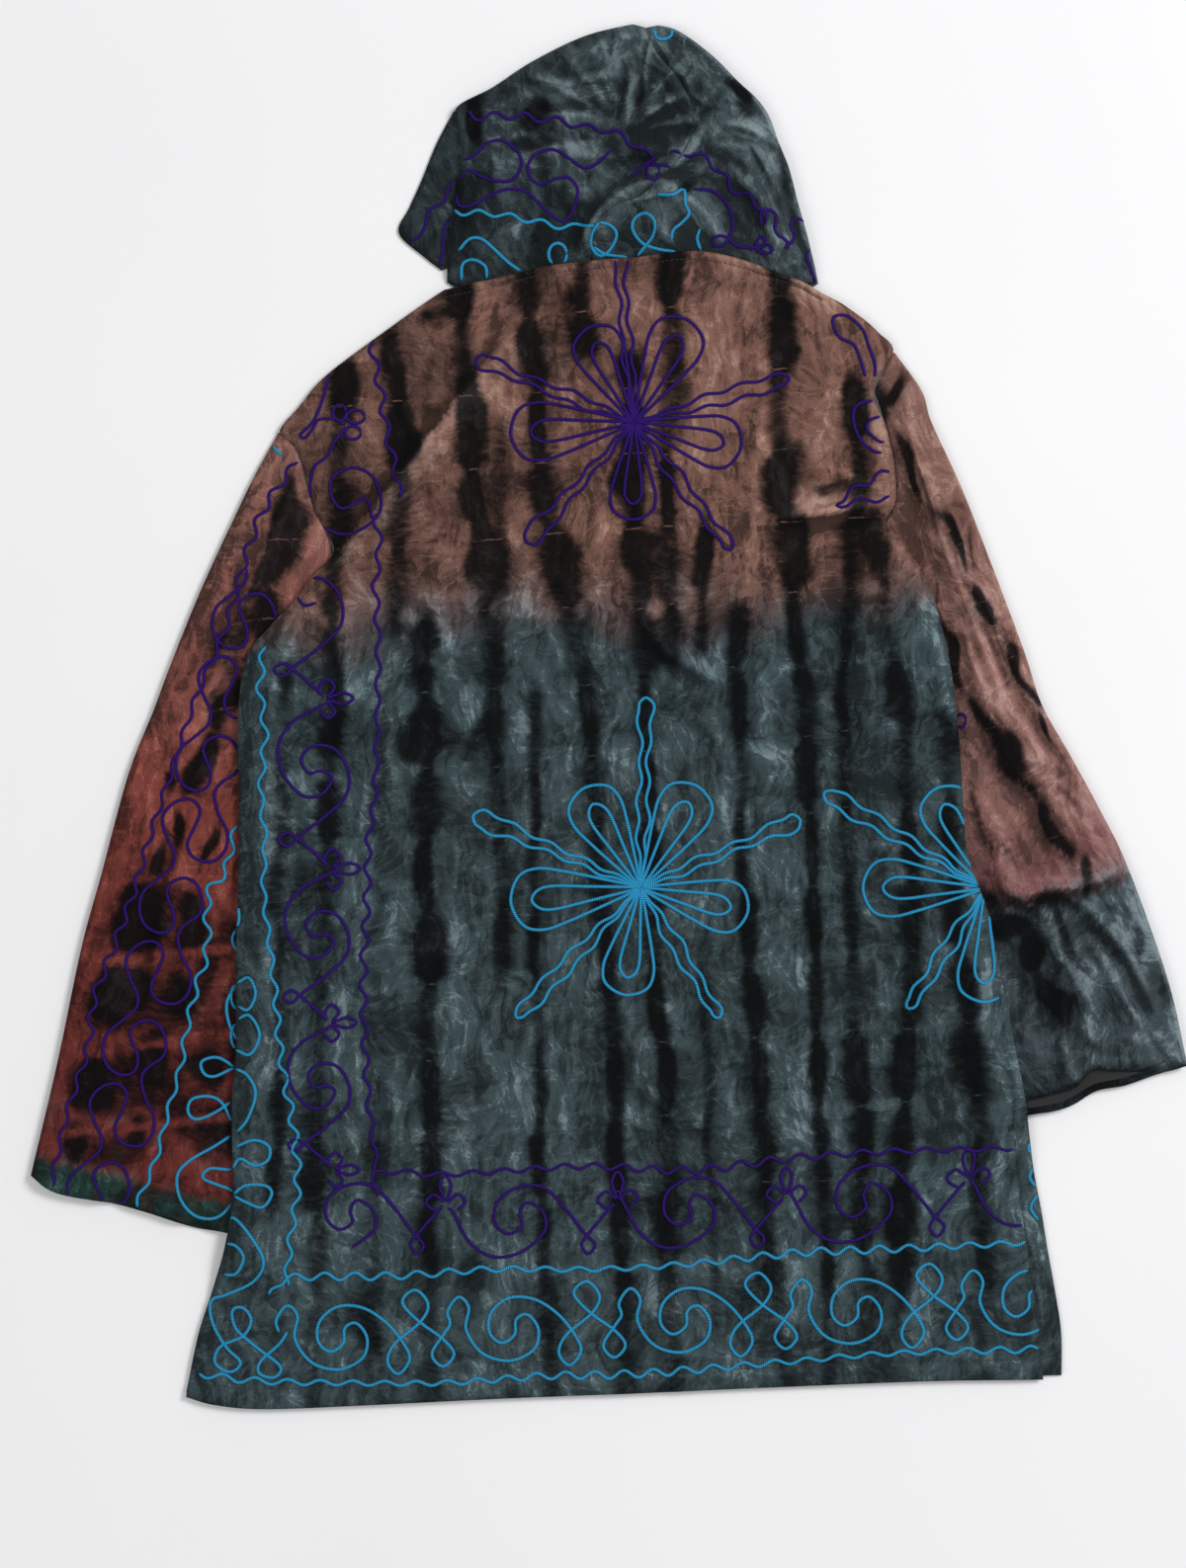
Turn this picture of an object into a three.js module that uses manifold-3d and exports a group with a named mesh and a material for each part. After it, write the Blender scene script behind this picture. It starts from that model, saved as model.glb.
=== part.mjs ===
// A hooded velvet jacket with a zip, laid flat on its front, back upwards.
//
// Units are millimetres. +Z is up, the surface it lies on is z = 0, +Y runs from the hem to the hood, and the
// wearer's left is -X. The tables are drawn from the centre back of the neck seam; the whole jacket is moved at
// the end so that its origin is the middle of its box, on the surface.
//
// From the surface upwards: both fronts with the zip between them, the sleeves where they lie out beside the
// body, the fronts again where the body covers the sleeves, the back, and the hood, whose base is tucked under
// the back's neck edge. Each cloth piece is a wall of velvet with its lining.
import * as THREE from "three";
import { mergeVertices } from "three/addons/utils/BufferGeometryUtils.js";
import Module from "manifold-3d";

// Driving sizes.
const CLOTH = 2; // velvet and lining, as one wall
const GAP = 0.4; // between a piece and what it is sewn to or lies on
const SLEEVE_FREE = 7.5; // height of a sleeve where nothing lies on it
const SLEEVE_PRESSED = 5.2; // height of a sleeve under the body
const LIFT = SLEEVE_PRESSED + 2 * GAP; // how far a sleeve lifts the front that lies over it
const LIFT_RUN = 20; // the front comes down to the surface over this distance beside a sleeve
const CUFF_RUN = 26; // and over this distance past a cuff
const BACK_EASE = 1.6; // slack between back and fronts away from the seams
const SEAM_RUN = 16; // the back settles onto the front over this distance from a side seam
const NECK_EASE = 3.6; // how far the hood's base lifts the back's neck edge
const ZIP_LIFT = 5.6; // how far the slider lifts the fronts around it
const SLIDER_EASE = 1.2; // and the back above it, further
const ZIP_TOP = -80; // centre front of the neck seam
const HEM_CENTRE = -849;
const HEM_SET = 3; // the fronts' hem lies this far above the back's
const NECK_DIP = 24; // how round the front neck is
const CENTRE_GAP = 3.4; // from the centre line to a front's folded edge, beside the teeth

const smooth = (t) => {
  const c = Math.min(1, Math.max(0, t));
  return c * c * (3 - 2 * c);
};
const mix = (a, b, t) => a + (b - a) * t;
const radians = THREE.MathUtils.degToRad;

// The value of column `to` where column `from` has the value x; the rows may rise or fall in `from`.
function along(rows, from, to, x) {
  const rising = rows[rows.length - 1][from] > rows[0][from];
  let i = 0;
  while (i < rows.length - 2 && (rising ? x > rows[i + 1][from] : x < rows[i + 1][from])) i++;
  const t = (x - rows[i][from]) / (rows[i + 1][from] - rows[i][from]);
  return mix(rows[i][to], rows[i + 1][to], Math.min(1, Math.max(0, t)));
}

// A smooth curve through points [x, y], by its share of length.
function curve(points) {
  const spline = new THREE.SplineCurve(points.map(([x, y]) => new THREE.Vector2(x, y)));
  spline.arcLengthDivisions = 400;
  return (t) => spline.getPointAt(Math.min(1, Math.max(0, t)));
}

// ---- The outline of the body, one row for each cross line, from the hem up: its left end and its right end.
const BODY = [
  { part: "hem", xl: -334, yl: -852, xr: 307, yr: -839 },
  { part: "side", xl: -325, yl: -808, xr: 305, yr: -806 },
  { part: "side", xl: -314, yl: -773, xr: 300, yr: -772 },
  { part: "side", xl: -306, yl: -746, xr: 295, yr: -742 },
  { part: "side", xl: -301, yl: -720, xr: 291, yr: -714 },
  { part: "side", xl: -298, yl: -690, xr: 287, yr: -684 },
  { part: "side", xl: -299, yl: -660, xr: 285, yr: -657 },
  { part: "side", xl: -299, yl: -632, xr: 284, yr: -630 },
  { part: "side", xl: -296, yl: -586, xr: 279, yr: -586 },
  { part: "side", xl: -296, yl: -530, xr: 272, yr: -533 },
  { part: "side", xl: -295, yl: -486, xr: 265, yr: -488 },
  { part: "side", xl: -294, yl: -440, xr: 250, yr: -446 },
  { part: "side", xl: -294, yl: -398, xr: 246, yr: -398 },
  { part: "side", xl: -295, yl: -360, xr: 243, yr: -352 },
  { part: "side", xl: -293, yl: -324, xr: 238, yr: -310 },
  { part: "side", xl: -287, yl: -296, xr: 230, yr: -273 },
  { part: "fold", xl: -272, yl: -277, xr: 219, yr: -239 },
  { part: "fold", xl: -252, yl: -256, xr: 205, yr: -218 },
  { part: "fold", xl: -237, yl: -236, xr: 195, yr: -206 },
  { part: "armhole", xl: -223, yl: -221, xr: 189, yr: -197 },
  { part: "armhole", xl: -228, yl: -206, xr: 196, yr: -184 },
  { part: "armhole", xl: -237, yl: -190, xr: 197, yr: -168 },
  { part: "armhole", xl: -243, yl: -170, xr: 195, yr: -150 },
  { part: "armhole", xl: -247, yl: -153, xr: 190, yr: -128 },
  { part: "armhole", xl: -253, yl: -140, xr: 180, yr: -98 },
  { part: "shoulder", xl: -264, yl: -130, xr: 195, yr: -70 },
  { part: "shoulder", xl: -249, yl: -111, xr: 184, yr: -56 },
  { part: "shoulder", xl: -228, yl: -87, xr: 173, yr: -46 },
  { part: "shoulder", xl: -174, yl: -47, xr: 156, yr: -34 },
  { part: "neck", xl: -141, yl: -24, xr: 141, yr: -26 },
];
const HEM_LINE = [
  { x: -334, y: -852 }, { x: -312, y: -858 }, { x: -274, y: -861 }, { x: -197, y: -858 },
  { x: -95, y: -853 }, { x: 7, y: -849 }, { x: 121, y: -844 }, { x: 225, y: -840 }, { x: 324, y: -839 },
];
const BACK_NECK = [
  { x: -141, y: -24 }, { x: -102, y: -16 }, { x: -66, y: -7 }, { x: -34, y: -3 }, { x: 4, y: 0 },
  { x: 34, y: 4 }, { x: 55, y: 4 }, { x: 79, y: -1 }, { x: 102, y: -9 }, { x: 124, y: -17 }, { x: 141, y: -26 },
];
// The right front shows past the back along the side: how far, by height.
const SIDE_SHOW = [
  { y: -486, show: 0 }, { y: -563, show: 4 }, { y: -617, show: 8.5 }, { y: -662, show: 12 },
  { y: -716, show: 15 }, { y: -801, show: 16 }, { y: -839, show: 14 },
];

// ---- Folds: a soft ridge on a short line. The angle is from +X, `width` is its half width, and `steep` makes
// its left (+1) or right (-1) side, seen along the line, fall off sharply.
const BACK_FOLDS = [
  { x: -196, y: -204, angle: 40, length: 90, width: 22, height: 5, steep: 1 }, // the body folds over the armhole
  { x: -150, y: -160, angle: 50, length: 120, width: 20, height: 4, steep: 1 },
  { x: -124, y: -82, angle: 80, length: 110, width: 9, height: 2, steep: 0 }, // from the neck to that fold
  { x: 140, y: -188, angle: 6, length: 130, width: 9, height: 3, steep: 1 }, // across the right armhole
  { x: 183, y: -132, angle: 97, length: 110, width: 10, height: 3, steep: 0 },
  { x: 186, y: -190, angle: 20, length: 46, width: 13, height: 4, steep: 0 },
  { x: 262, y: -600, angle: 97, length: 240, width: 10, height: 3, steep: 0 }, // beside the right side seam
  { x: -274, y: -480, angle: 90, length: 470, width: 15, height: 3.5, steep: 0 }, // roll along the left side
  { x: -284, y: -742, angle: -52, length: 90, width: 12, height: 3, steep: 0 }, // where the left cuff ends
  { x: -150, y: -640, angle: 86, length: 330, width: 26, height: 1.6, steep: 0 }, // hanging waves
  { x: -20, y: -700, angle: 93, length: 300, width: 24, height: 1.3, steep: 0 },
  { x: 120, y: -660, angle: 84, length: 340, width: 26, height: 1.6, steep: 0 },
  { x: -60, y: -380, angle: 60, length: 190, width: 20, height: 1.2, steep: 0 },
  { x: 90, y: -350, angle: 118, length: 200, width: 20, height: 1.3, steep: 0 },
];
const LEFT_SLEEVE_FOLDS = [
  { x: -262, y: -190, angle: 66, length: 110, width: 8, height: 2, steep: 0 },
  { x: -318, y: -300, angle: 66, length: 190, width: 11, height: 1.8, steep: 0 },
  { x: -352, y: -420, angle: 72, length: 170, width: 10, height: 1.5, steep: 0 },
  { x: -395, y: -560, angle: 78, length: 200, width: 12, height: 1.6, steep: 0 },
  { x: -338, y: -620, angle: 80, length: 170, width: 11, height: 1.6, steep: 0 },
  { x: -405, y: -684, angle: -12, length: 90, width: 8, height: 1.6, steep: 0 },
];
const RIGHT_SLEEVE_FOLDS = [
  { x: 218, y: -170, angle: 108, length: 170, width: 8, height: 2.4, steep: 0 },
  { x: 250, y: -260, angle: 112, length: 190, width: 8, height: 2.4, steep: -1 },
  { x: 232, y: -300, angle: 105, length: 160, width: 7, height: 2, steep: 0 },
  { x: 300, y: -385, angle: 122, length: 160, width: 8, height: 2.6, steep: 0 },
  { x: 268, y: -440, angle: 118, length: 180, width: 8, height: 2.4, steep: 0 },
  { x: 330, y: -470, angle: 120, length: 130, width: 7, height: 2.4, steep: 0 },
  { x: 312, y: -486, angle: 15, length: 110, width: 8, height: 3.2, steep: -1 }, // sags over the forearm
  { x: 360, y: -545, angle: 120, length: 120, width: 8, height: 2.4, steep: 0 },
  { x: 322, y: -580, angle: 95, length: 90, width: 9, height: 2.2, steep: 0 },
];
const HOOD_FOLDS = [
  { x: 20, y: 44, angle: 50, length: 120, width: 17, height: 9, steep: 1 }, // roll beside the centre seam
  { x: 12, y: 62, angle: 50, length: 90, width: 9, height: -4, steep: 0 }, // valley the seam runs in
  { x: 30, y: 14, angle: 0, length: 120, width: 18, height: 5, steep: 0 }, // puff over the neck
  { x: 66, y: 34, angle: -52, length: 80, width: 7, height: -4.5, steep: 0 },
  { x: 96, y: 52, angle: -60, length: 130, width: 24, height: 3.5, steep: 0 },
  { x: 8, y: 126, angle: 66, length: 90, width: 8, height: 4, steep: 0 }, // fan from the valley to the crown
  { x: 32, y: 112, angle: 36, length: 80, width: 8, height: 3.5, steep: 0 },
  { x: -16, y: 128, angle: 104, length: 80, width: 8, height: 3, steep: 0 },
  { x: -44, y: 118, angle: 12, length: 80, width: 7, height: 2.5, steep: 0 },
  { x: -94, y: 12, angle: 28, length: 90, width: 12, height: 3.5, steep: 0 },
];
const STEEP_SHARE = 0.4; // width of a fold's steep side

function foldHeight(folds, x, y) {
  let sum = 0;
  for (const f of folds) {
    const c = Math.cos(radians(f.angle));
    const s = Math.sin(radians(f.angle));
    const lengthways = (x - f.x) * c + (y - f.y) * s;
    const across = (y - f.y) * c - (x - f.x) * s;
    const ends = Math.max(0, 1 - (2 * lengthways / f.length) ** 2) ** 2;
    const width = f.width * (across * f.steep > 0 ? STEEP_SHARE : 1);
    sum += f.height * ends * Math.exp(-((across / width) ** 2));
  }
  return sum;
}

// ---- A wall of cloth over a grid: middle(u, v) is the point half way through it, and it is thickened along its
// own normals. A closed wall joins its last column to its first, as a sleeve does.
function wall(columns, rows, middle, { closed = false, thickness = CLOTH } = {}) {
  const across = closed ? columns : columns + 1;
  const grid = [];
  for (let j = 0; j <= rows; j++) {
    grid.push([]);
    for (let i = 0; i < across; i++) grid[j].push(middle(i / columns, j / rows));
  }
  const before = (i) => (closed ? (i + across - 1) % across : Math.max(0, i - 1));
  const after = (i) => (closed ? (i + 1) % across : Math.min(across - 1, i + 1));
  const position = [];
  for (const side of [0.5, -0.5]) {
    for (let j = 0; j <= rows; j++) {
      for (let i = 0; i < across; i++) {
        const alongU = grid[j][after(i)].clone().sub(grid[j][before(i)]);
        const alongV = grid[Math.min(rows, j + 1)][i].clone().sub(grid[Math.max(0, j - 1)][i]);
        const normal = alongU.cross(alongV).normalize();
        position.push(...grid[j][i].clone().addScaledVector(normal, side * thickness).toArray());
      }
    }
  }
  const layer = across * (rows + 1);
  const at = (i, j, side) => side * layer + j * across + (closed ? i % across : i);
  const index = [];
  const quad = (a, b, c, d) => index.push(a, b, c, a, c, d);
  for (let j = 0; j < rows; j++) {
    for (let i = 0; i < columns; i++) {
      quad(at(i, j, 0), at(i + 1, j, 0), at(i + 1, j + 1, 0), at(i, j + 1, 0));
      quad(at(i, j, 1), at(i, j + 1, 1), at(i + 1, j + 1, 1), at(i + 1, j, 1));
    }
  }
  for (let i = 0; i < columns; i++) {
    quad(at(i, 0, 1), at(i + 1, 0, 1), at(i + 1, 0, 0), at(i, 0, 0));
    quad(at(i, rows, 0), at(i + 1, rows, 0), at(i + 1, rows, 1), at(i, rows, 1));
  }
  if (!closed) {
    for (let j = 0; j < rows; j++) {
      quad(at(0, j, 0), at(0, j + 1, 0), at(0, j + 1, 1), at(0, j, 1));
      quad(at(columns, j, 1), at(columns, j + 1, 1), at(columns, j + 1, 0), at(columns, j, 0));
    }
  }
  const geometry = new THREE.BufferGeometry();
  geometry.setAttribute("position", new THREE.Float32BufferAttribute(position, 3));
  geometry.setIndex(index);
  return facingOut(geometry);
}

// Turns a closed geometry's faces round if they point inwards.
function facingOut(geometry) {
  const p = geometry.getAttribute("position");
  const index = geometry.getIndex();
  const [a, b, c] = [new THREE.Vector3(), new THREE.Vector3(), new THREE.Vector3()];
  let volume = 0;
  for (let i = 0; i < index.count; i += 3) {
    a.fromBufferAttribute(p, index.getX(i));
    b.fromBufferAttribute(p, index.getX(i + 1));
    c.fromBufferAttribute(p, index.getX(i + 2));
    volume += a.dot(b.cross(c));
  }
  if (volume < 0) {
    for (let i = 0; i < index.count; i += 3) {
      const first = index.getX(i);
      index.setX(i, index.getX(i + 2));
      index.setX(i + 2, first);
    }
  }
  return geometry;
}

// ---- Sleeves: each one cloth tube from armhole to cuff, pressed flat. A row is a ring, from its outer end (the
// fold along the top of the arm) to its inner end (the underarm seam, under the body).
const LEFT_SLEEVE = [
  { xo: -264.8, yo: -130.8, xi: -190, yi: -315 },
  { xo: -282, yo: -162, xi: -194, yi: -340 },
  { xo: -299, yo: -197, xi: -199, yi: -370 },
  { xo: -323, yo: -249, xi: -206, yi: -408 },
  { xo: -345, yo: -303, xi: -213, yi: -448 },
  { xo: -358, yo: -338, xi: -218, yi: -476 },
  { xo: -377, yo: -386, xi: -224, yi: -512 },
  { xo: -397, yo: -460, xi: -232, yi: -560 },
  { xo: -412, yo: -515, xi: -239, yi: -602 },
  { xo: -430, yo: -601, xi: -249, yi: -665 },
  { xo: -450, yo: -686, xi: -262, yi: -738 },
];
const RIGHT_SLEEVE = [
  { xo: 195.8, yo: -70.6, xi: 165, yi: -262 },
  { xo: 216, yo: -99, xi: 170, yi: -290 },
  { xo: 224, yo: -124, xi: 173, yi: -308 },
  { xo: 246, yo: -172, xi: 179, yi: -344 },
  { xo: 266, yo: -223, xi: 184, yi: -380 },
  { xo: 292, yo: -292, xi: 192, yi: -430 },
  { xo: 306, yo: -334, xi: 197, yi: -458 },
  { xo: 325, yo: -368, xi: 203, yi: -490 },
  { xo: 348, yo: -410, xi: 210, yi: -522 },
  { xo: 370, yo: -455, xi: 217, yi: -554 },
  { xo: 400, yo: -539, xi: 231, yi: -604 },
  { xo: 415, yo: -604, xi: 243, yi: -642 },
];
const SLEEVE_COLUMNS = 28;
const SLEEVE_ROWS = 16;
const HALF = SLEEVE_COLUMNS / 2;

// One point of the armhole for each column of half a sleeve: first the body's own armhole, a little way off
// it, then on under the body to the underarm point.
function armhole(side, rings) {
  const rows = BODY.filter((row, j) => row.part === "armhole" || BODY[j - 1]?.part === "armhole").reverse();
  const shown = rows.map((row) => (side < 0 ? [row.xl - 0.8, row.yl - 0.4] : [row.xr + 0.8, row.yr - 0.4]));
  const [lastX, lastY] = shown[shown.length - 1];
  const hidden = HALF + 1 - shown.length;
  const rest = Array.from({ length: hidden }, (_, k) => (k + 1) / hidden)
    .map((share) => [mix(lastX, rings[0].xi, share), mix(lastY, rings[0].yi, share)]);
  return [...shown, ...rest].map(([x, y]) => new THREE.Vector2(x, y));
}
const SLEEVES = {
  left: {
    side: -1,
    rings: LEFT_SLEEVE,
    armhole: armhole(-1, LEFT_SLEEVE),
    cuffBack: curve([[-450, -686], [-431, -699], [-395, -706], [-368, -711], [-346, -718], [-325, -725],
      [-307, -728], [-262, -738]]),
    cuffFront: curve([[-450, -686], [-431, -699], [-395, -706], [-368, -713], [-340, -722], [-325, -726],
      [-307, -729], [-262, -738]]),
    cuffEnd: -746,
    ridesBelow: -203,
    folds: LEFT_SLEEVE_FOLDS,
  },
  right: {
    side: 1,
    rings: RIGHT_SLEEVE,
    armhole: armhole(1, RIGHT_SLEEVE),
    cuffBack: curve([[415, -604], [391, -610], [360, -607], [344, -607], [330, -621], [316, -626],
      [296, -630], [243, -642]]),
    cuffFront: curve([[415, -604], [391, -611], [368, -619], [347, -623], [330, -633], [316, -638],
      [296, -641], [243, -648]]),
    cuffEnd: -657,
    ridesBelow: -180,
    folds: RIGHT_SLEEVE_FOLDS,
  },
};

// A point of a sleeve in plan: column k of a half, from the outer end, and v from the armhole to the cuff.
function sleevePlan(sleeve, k, v, cuff) {
  const t = (1 - Math.cos((Math.PI * k) / HALF)) / 2;
  const last = sleeve.rings.length - 1;
  const i = Math.min(last - 1, Math.floor(v * last));
  const share = v * last - i;
  const [a, b] = [sleeve.rings[i], sleeve.rings[i + 1]];
  const outer = new THREE.Vector2(mix(a.xo, b.xo, share), mix(a.yo, b.yo, share));
  const inner = new THREE.Vector2(mix(a.xi, b.xi, share), mix(a.yi, b.yi, share));
  const p = outer.clone().lerp(inner, t);
  const start = new THREE.Vector2(sleeve.rings[0].xo, sleeve.rings[0].yo);
  start.lerp(new THREE.Vector2(sleeve.rings[0].xi, sleeve.rings[0].yi), t);
  p.addScaledVector(sleeve.armhole[k].clone().sub(start), (1 - v) ** 3);
  p.addScaledVector(cuff(t).sub(cuff(0).lerp(cuff(1), t)), v ** 8);
  return { x: p.x, y: p.y, width: outer.distanceTo(inner), t };
}

// The inner edge of a sleeve under the body: its x at a height y.
function innerEdge(sleeve, y) {
  const edge = sleeve.armhole.slice(-8).map((p) => ({ x: p.x, y: p.y }));
  edge.push(...sleeve.rings.slice(1).map((ring) => ({ x: ring.xi, y: ring.yi })));
  return along(edge, "y", "x", y);
}

// The sleeve's height: full where it lies free, less where the body lies on it.
function sleeveHeight(sleeve, x, y) {
  const edge = sleeve.side < 0 ? along(BODY, "yl", "xl", y) : along(BODY, "yr", "xr", y);
  const show = sleeve.side > 0 ? along(SIDE_SHOW, "y", "show", y) : 0;
  const free = (x - edge - show) * sleeve.side;
  return mix(SLEEVE_PRESSED, SLEEVE_FREE, smooth((free - 8) / 24));
}

function sleeveTube(sleeve) {
  return wall(SLEEVE_COLUMNS, SLEEVE_ROWS, (u, v) => {
    const column = Math.round(u * SLEEVE_COLUMNS);
    const upper = column <= HALF;
    const k = upper ? column : SLEEVE_COLUMNS - column;
    const p = sleevePlan(sleeve, k, v, upper ? sleeve.cuffBack : sleeve.cuffFront);
    const height = sleeveHeight(sleeve, p.x, p.y);
    const round = height / 2 - CLOTH / 2;
    const fromEnd = Math.min(p.t, 1 - p.t) * p.width;
    const rise = Math.sqrt(round ** 2 - (round - Math.min(fromEnd, round)) ** 2);
    const free = smooth((height - SLEEVE_PRESSED) / 1.6) * smooth(fromEnd / 14);
    const folds = upper ? free * foldHeight(sleeve.folds, p.x, p.y) : 0;
    return new THREE.Vector3(p.x, p.y, height / 2 + (upper ? rise : -rise) + folds);
  }, { closed: true });
}
const jacket = new THREE.Group();
const velvet = (color) => new THREE.MeshStandardMaterial({ color, roughness: 0.85, metalness: 0 });
function piece(name, geometry, material) {
  const mesh = new THREE.Mesh(geometry, material);
  mesh.name = name;
  jacket.add(mesh);
}
piece("sleeve_left", sleeveTube(SLEEVES.left), velvet(0x7a443f));
piece("sleeve_right", sleeveTube(SLEEVES.right), velvet(0x7d5a54));

// The black lining of the right sleeve's front half, which shows where that half hangs past the back half.
const LINING_THICK = 0.7;
const LINING_DEPTH = 0.05; // share of the sleeve's length that it is built for
const LINING_FROM = 3; // columns of the sleeve it runs over
const LINING_TO = 10;
function cuffLining(sleeve) {
  return wall(LINING_TO - LINING_FROM, 3, (u, v) => {
    const k = Math.round(mix(LINING_FROM, LINING_TO, u));
    const p = sleevePlan(sleeve, k, 1 - LINING_DEPTH * (1 - v), sleeve.cuffFront);
    return new THREE.Vector3(p.x, p.y + 1, CLOTH + 0.3 + LINING_THICK / 2);
  }, { thickness: LINING_THICK });
}
const black = new THREE.MeshStandardMaterial({ color: 0x232224, roughness: 0.8 });
piece("lining_right_cuff", cuffLining(SLEEVES.right), black);

// ---- How high the layers of the body lie.
// How far a sleeve lifts a front that rides over it.
function sleeveLift(sleeve, x, y) {
  const inside = (x - innerEdge(sleeve, y)) * sleeve.side;
  const beside = smooth((inside + 1 + LIFT_RUN) / LIFT_RUN);
  return LIFT * beside * smooth((y - sleeve.cuffEnd + CUFF_RUN) / CUFF_RUN) * smooth((sleeve.ridesBelow - y) / 16);
}

function frontMiddle(x, y) {
  const sleeve = Math.max(sleeveLift(SLEEVES.left, x, y), sleeveLift(SLEEVES.right, x, y));
  const zip = ZIP_LIFT * smooth((60 - Math.abs(x)) / 36) * smooth((96 - Math.abs(y - ZIP_TOP + 18)) / 46);
  return CLOTH / 2 + sleeve + zip;
}

// Half way through the back: on the fronts at the seams, with its folds further in, and over the hood's base.
function backMiddle(p) {
  const step = 3;
  const slope = Math.hypot(
    (frontMiddle(p.x + step, p.y) - frontMiddle(p.x - step, p.y)) / (2 * step),
    (frontMiddle(p.x, p.y + step) - frontMiddle(p.x, p.y - step)) / (2 * step),
  );
  const on = frontMiddle(p.x, p.y) + (CLOTH + GAP) * Math.hypot(1, slope);
  const settle = smooth(p.fromSeam / SEAM_RUN) * smooth(0.5 + p.fromHem / 60);
  const waves = Math.max(0, BACK_EASE + foldHeight(BACK_FOLDS, p.x, p.y));
  const fromNeck = along(BACK_NECK, "x", "y", p.x) - p.y;
  const neck = NECK_EASE * smooth((34 - fromNeck) / 26) * smooth((140 - Math.abs(p.x)) / 16);
  const slider = SLIDER_EASE * smooth((42 - Math.abs(p.x)) / 26) * smooth((44 - Math.abs(p.y - ZIP_TOP)) / 26);
  return on + settle * waves + neck + slider;
}

// How far up the body each cross line is, as a share, going by the side seams and the centre line alike.
const LADDER = BODY.map((_, j) => {
  let reach = 0;
  for (let i = 1; i <= j; i++) {
    reach += Math.hypot(BODY[i].xl - BODY[i - 1].xl, BODY[i].yl - BODY[i - 1].yl);
    reach += Math.hypot(BODY[i].xr - BODY[i - 1].xr, BODY[i].yr - BODY[i - 1].yr);
  }
  return reach;
}).map((reach, _, all) => reach / all[all.length - 1]);
const LAST = BODY.length - 1;

// The points of one half of a cross line, from the centre to the side. The columns follow the sleeve's inner
// edge, where the cloth bends over it.
const BEND = [21, 11, 1]; // the columns inboard of that edge
const OUTER_STEPS = 4;
const BEND_ABOVE = 0.82; // where those columns run above the armhole, as a share of the half width
function crossLine(j, side, innerSteps, front) {
  const row = BODY[j];
  const v = LADDER[j];
  const show = front && side > 0 ? along(SIDE_SHOW, "y", "show", row.yr) : 0;
  const edge = { x: side < 0 ? row.xl : row.xr + show, y: side < 0 ? row.yl : row.yr };
  const centre = front
    ? { x: side * CENTRE_GAP, y: mix(HEM_CENTRE, ZIP_TOP, v) }
    : { x: 0, y: mix(HEM_CENTRE, 0, v) };
  const width = Math.abs(edge.x - centre.x);
  const sleeve = side < 0 ? SLEEVES.left : SLEEVES.right;
  const under = Math.abs(innerEdge(sleeve, edge.y) - centre.x) / width;
  const bend = edge.y < sleeve.ridesBelow - 10 ? Math.min(under, 0.93) : BEND_ABOVE;
  const shares = [];
  const first = bend - 34 / width;
  for (let k = 0; k <= innerSteps; k++) shares.push((first * k) / innerSteps);
  for (const back of BEND) shares.push(bend - back / width);
  for (let k = 1; k <= OUTER_STEPS; k++) shares.push(mix(bend - 1 / width, 1, k / OUTER_STEPS));
  const hemShare = [1, 0.35, 0.1][j] ?? 0;
  const neckShare = [1, 0.45, 0.15][LAST - j] ?? 0;
  return shares.map((u) => {
    const x = mix(centre.x, edge.x, u);
    const straight = mix(centre.y, edge.y, u);
    const hem = along(HEM_LINE, "x", "y", x) + (front ? HEM_SET : 0) - mix(HEM_CENTRE, BODY[0][side < 0 ? "yl" : "yr"], u);
    const neck = front
      ? -NECK_DIP * Math.sin(Math.PI * u)
      : along(BACK_NECK, "x", "y", x) - mix(0, BODY[LAST][side < 0 ? "yl" : "yr"], u);
    const y = straight + hem * hemShare + neck * neckShare;
    return { x, y, fromSeam: (1 - u) * width, fromHem: v * 860 };
  });
}

// A panel of the body, over its cross lines.
function bodyPanel(lines, height) {
  const columns = lines[0].length - 1;
  return wall(columns, LAST, (u, v) => {
    const p = lines[Math.round(v * LAST)][Math.round(u * columns)];
    return new THREE.Vector3(p.x, p.y, height(p));
  });
}

// The fronts run from the side seam to the zip, the back from side seam to side seam.
const FRONT_STEPS = 4;
const BACK_STEPS = 7;
const frontLines = (side) => BODY.map((_, j) => crossLine(j, side, FRONT_STEPS, true));
const backLines = BODY.map((_, j) => {
  const left = crossLine(j, -1, BACK_STEPS, false);
  const right = crossLine(j, 1, BACK_STEPS, false);
  return [...left.reverse(), ...right.slice(1)];
});
piece("front_left", bodyPanel(frontLines(-1), (p) => frontMiddle(p.x, p.y)), velvet(0x39464a));
piece("front_right", bodyPanel(frontLines(1), (p) => frontMiddle(p.x, p.y)), velvet(0x39464a));
piece("back_panel", bodyPanel(backLines, backMiddle), velvet(0x3a4649));

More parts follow.
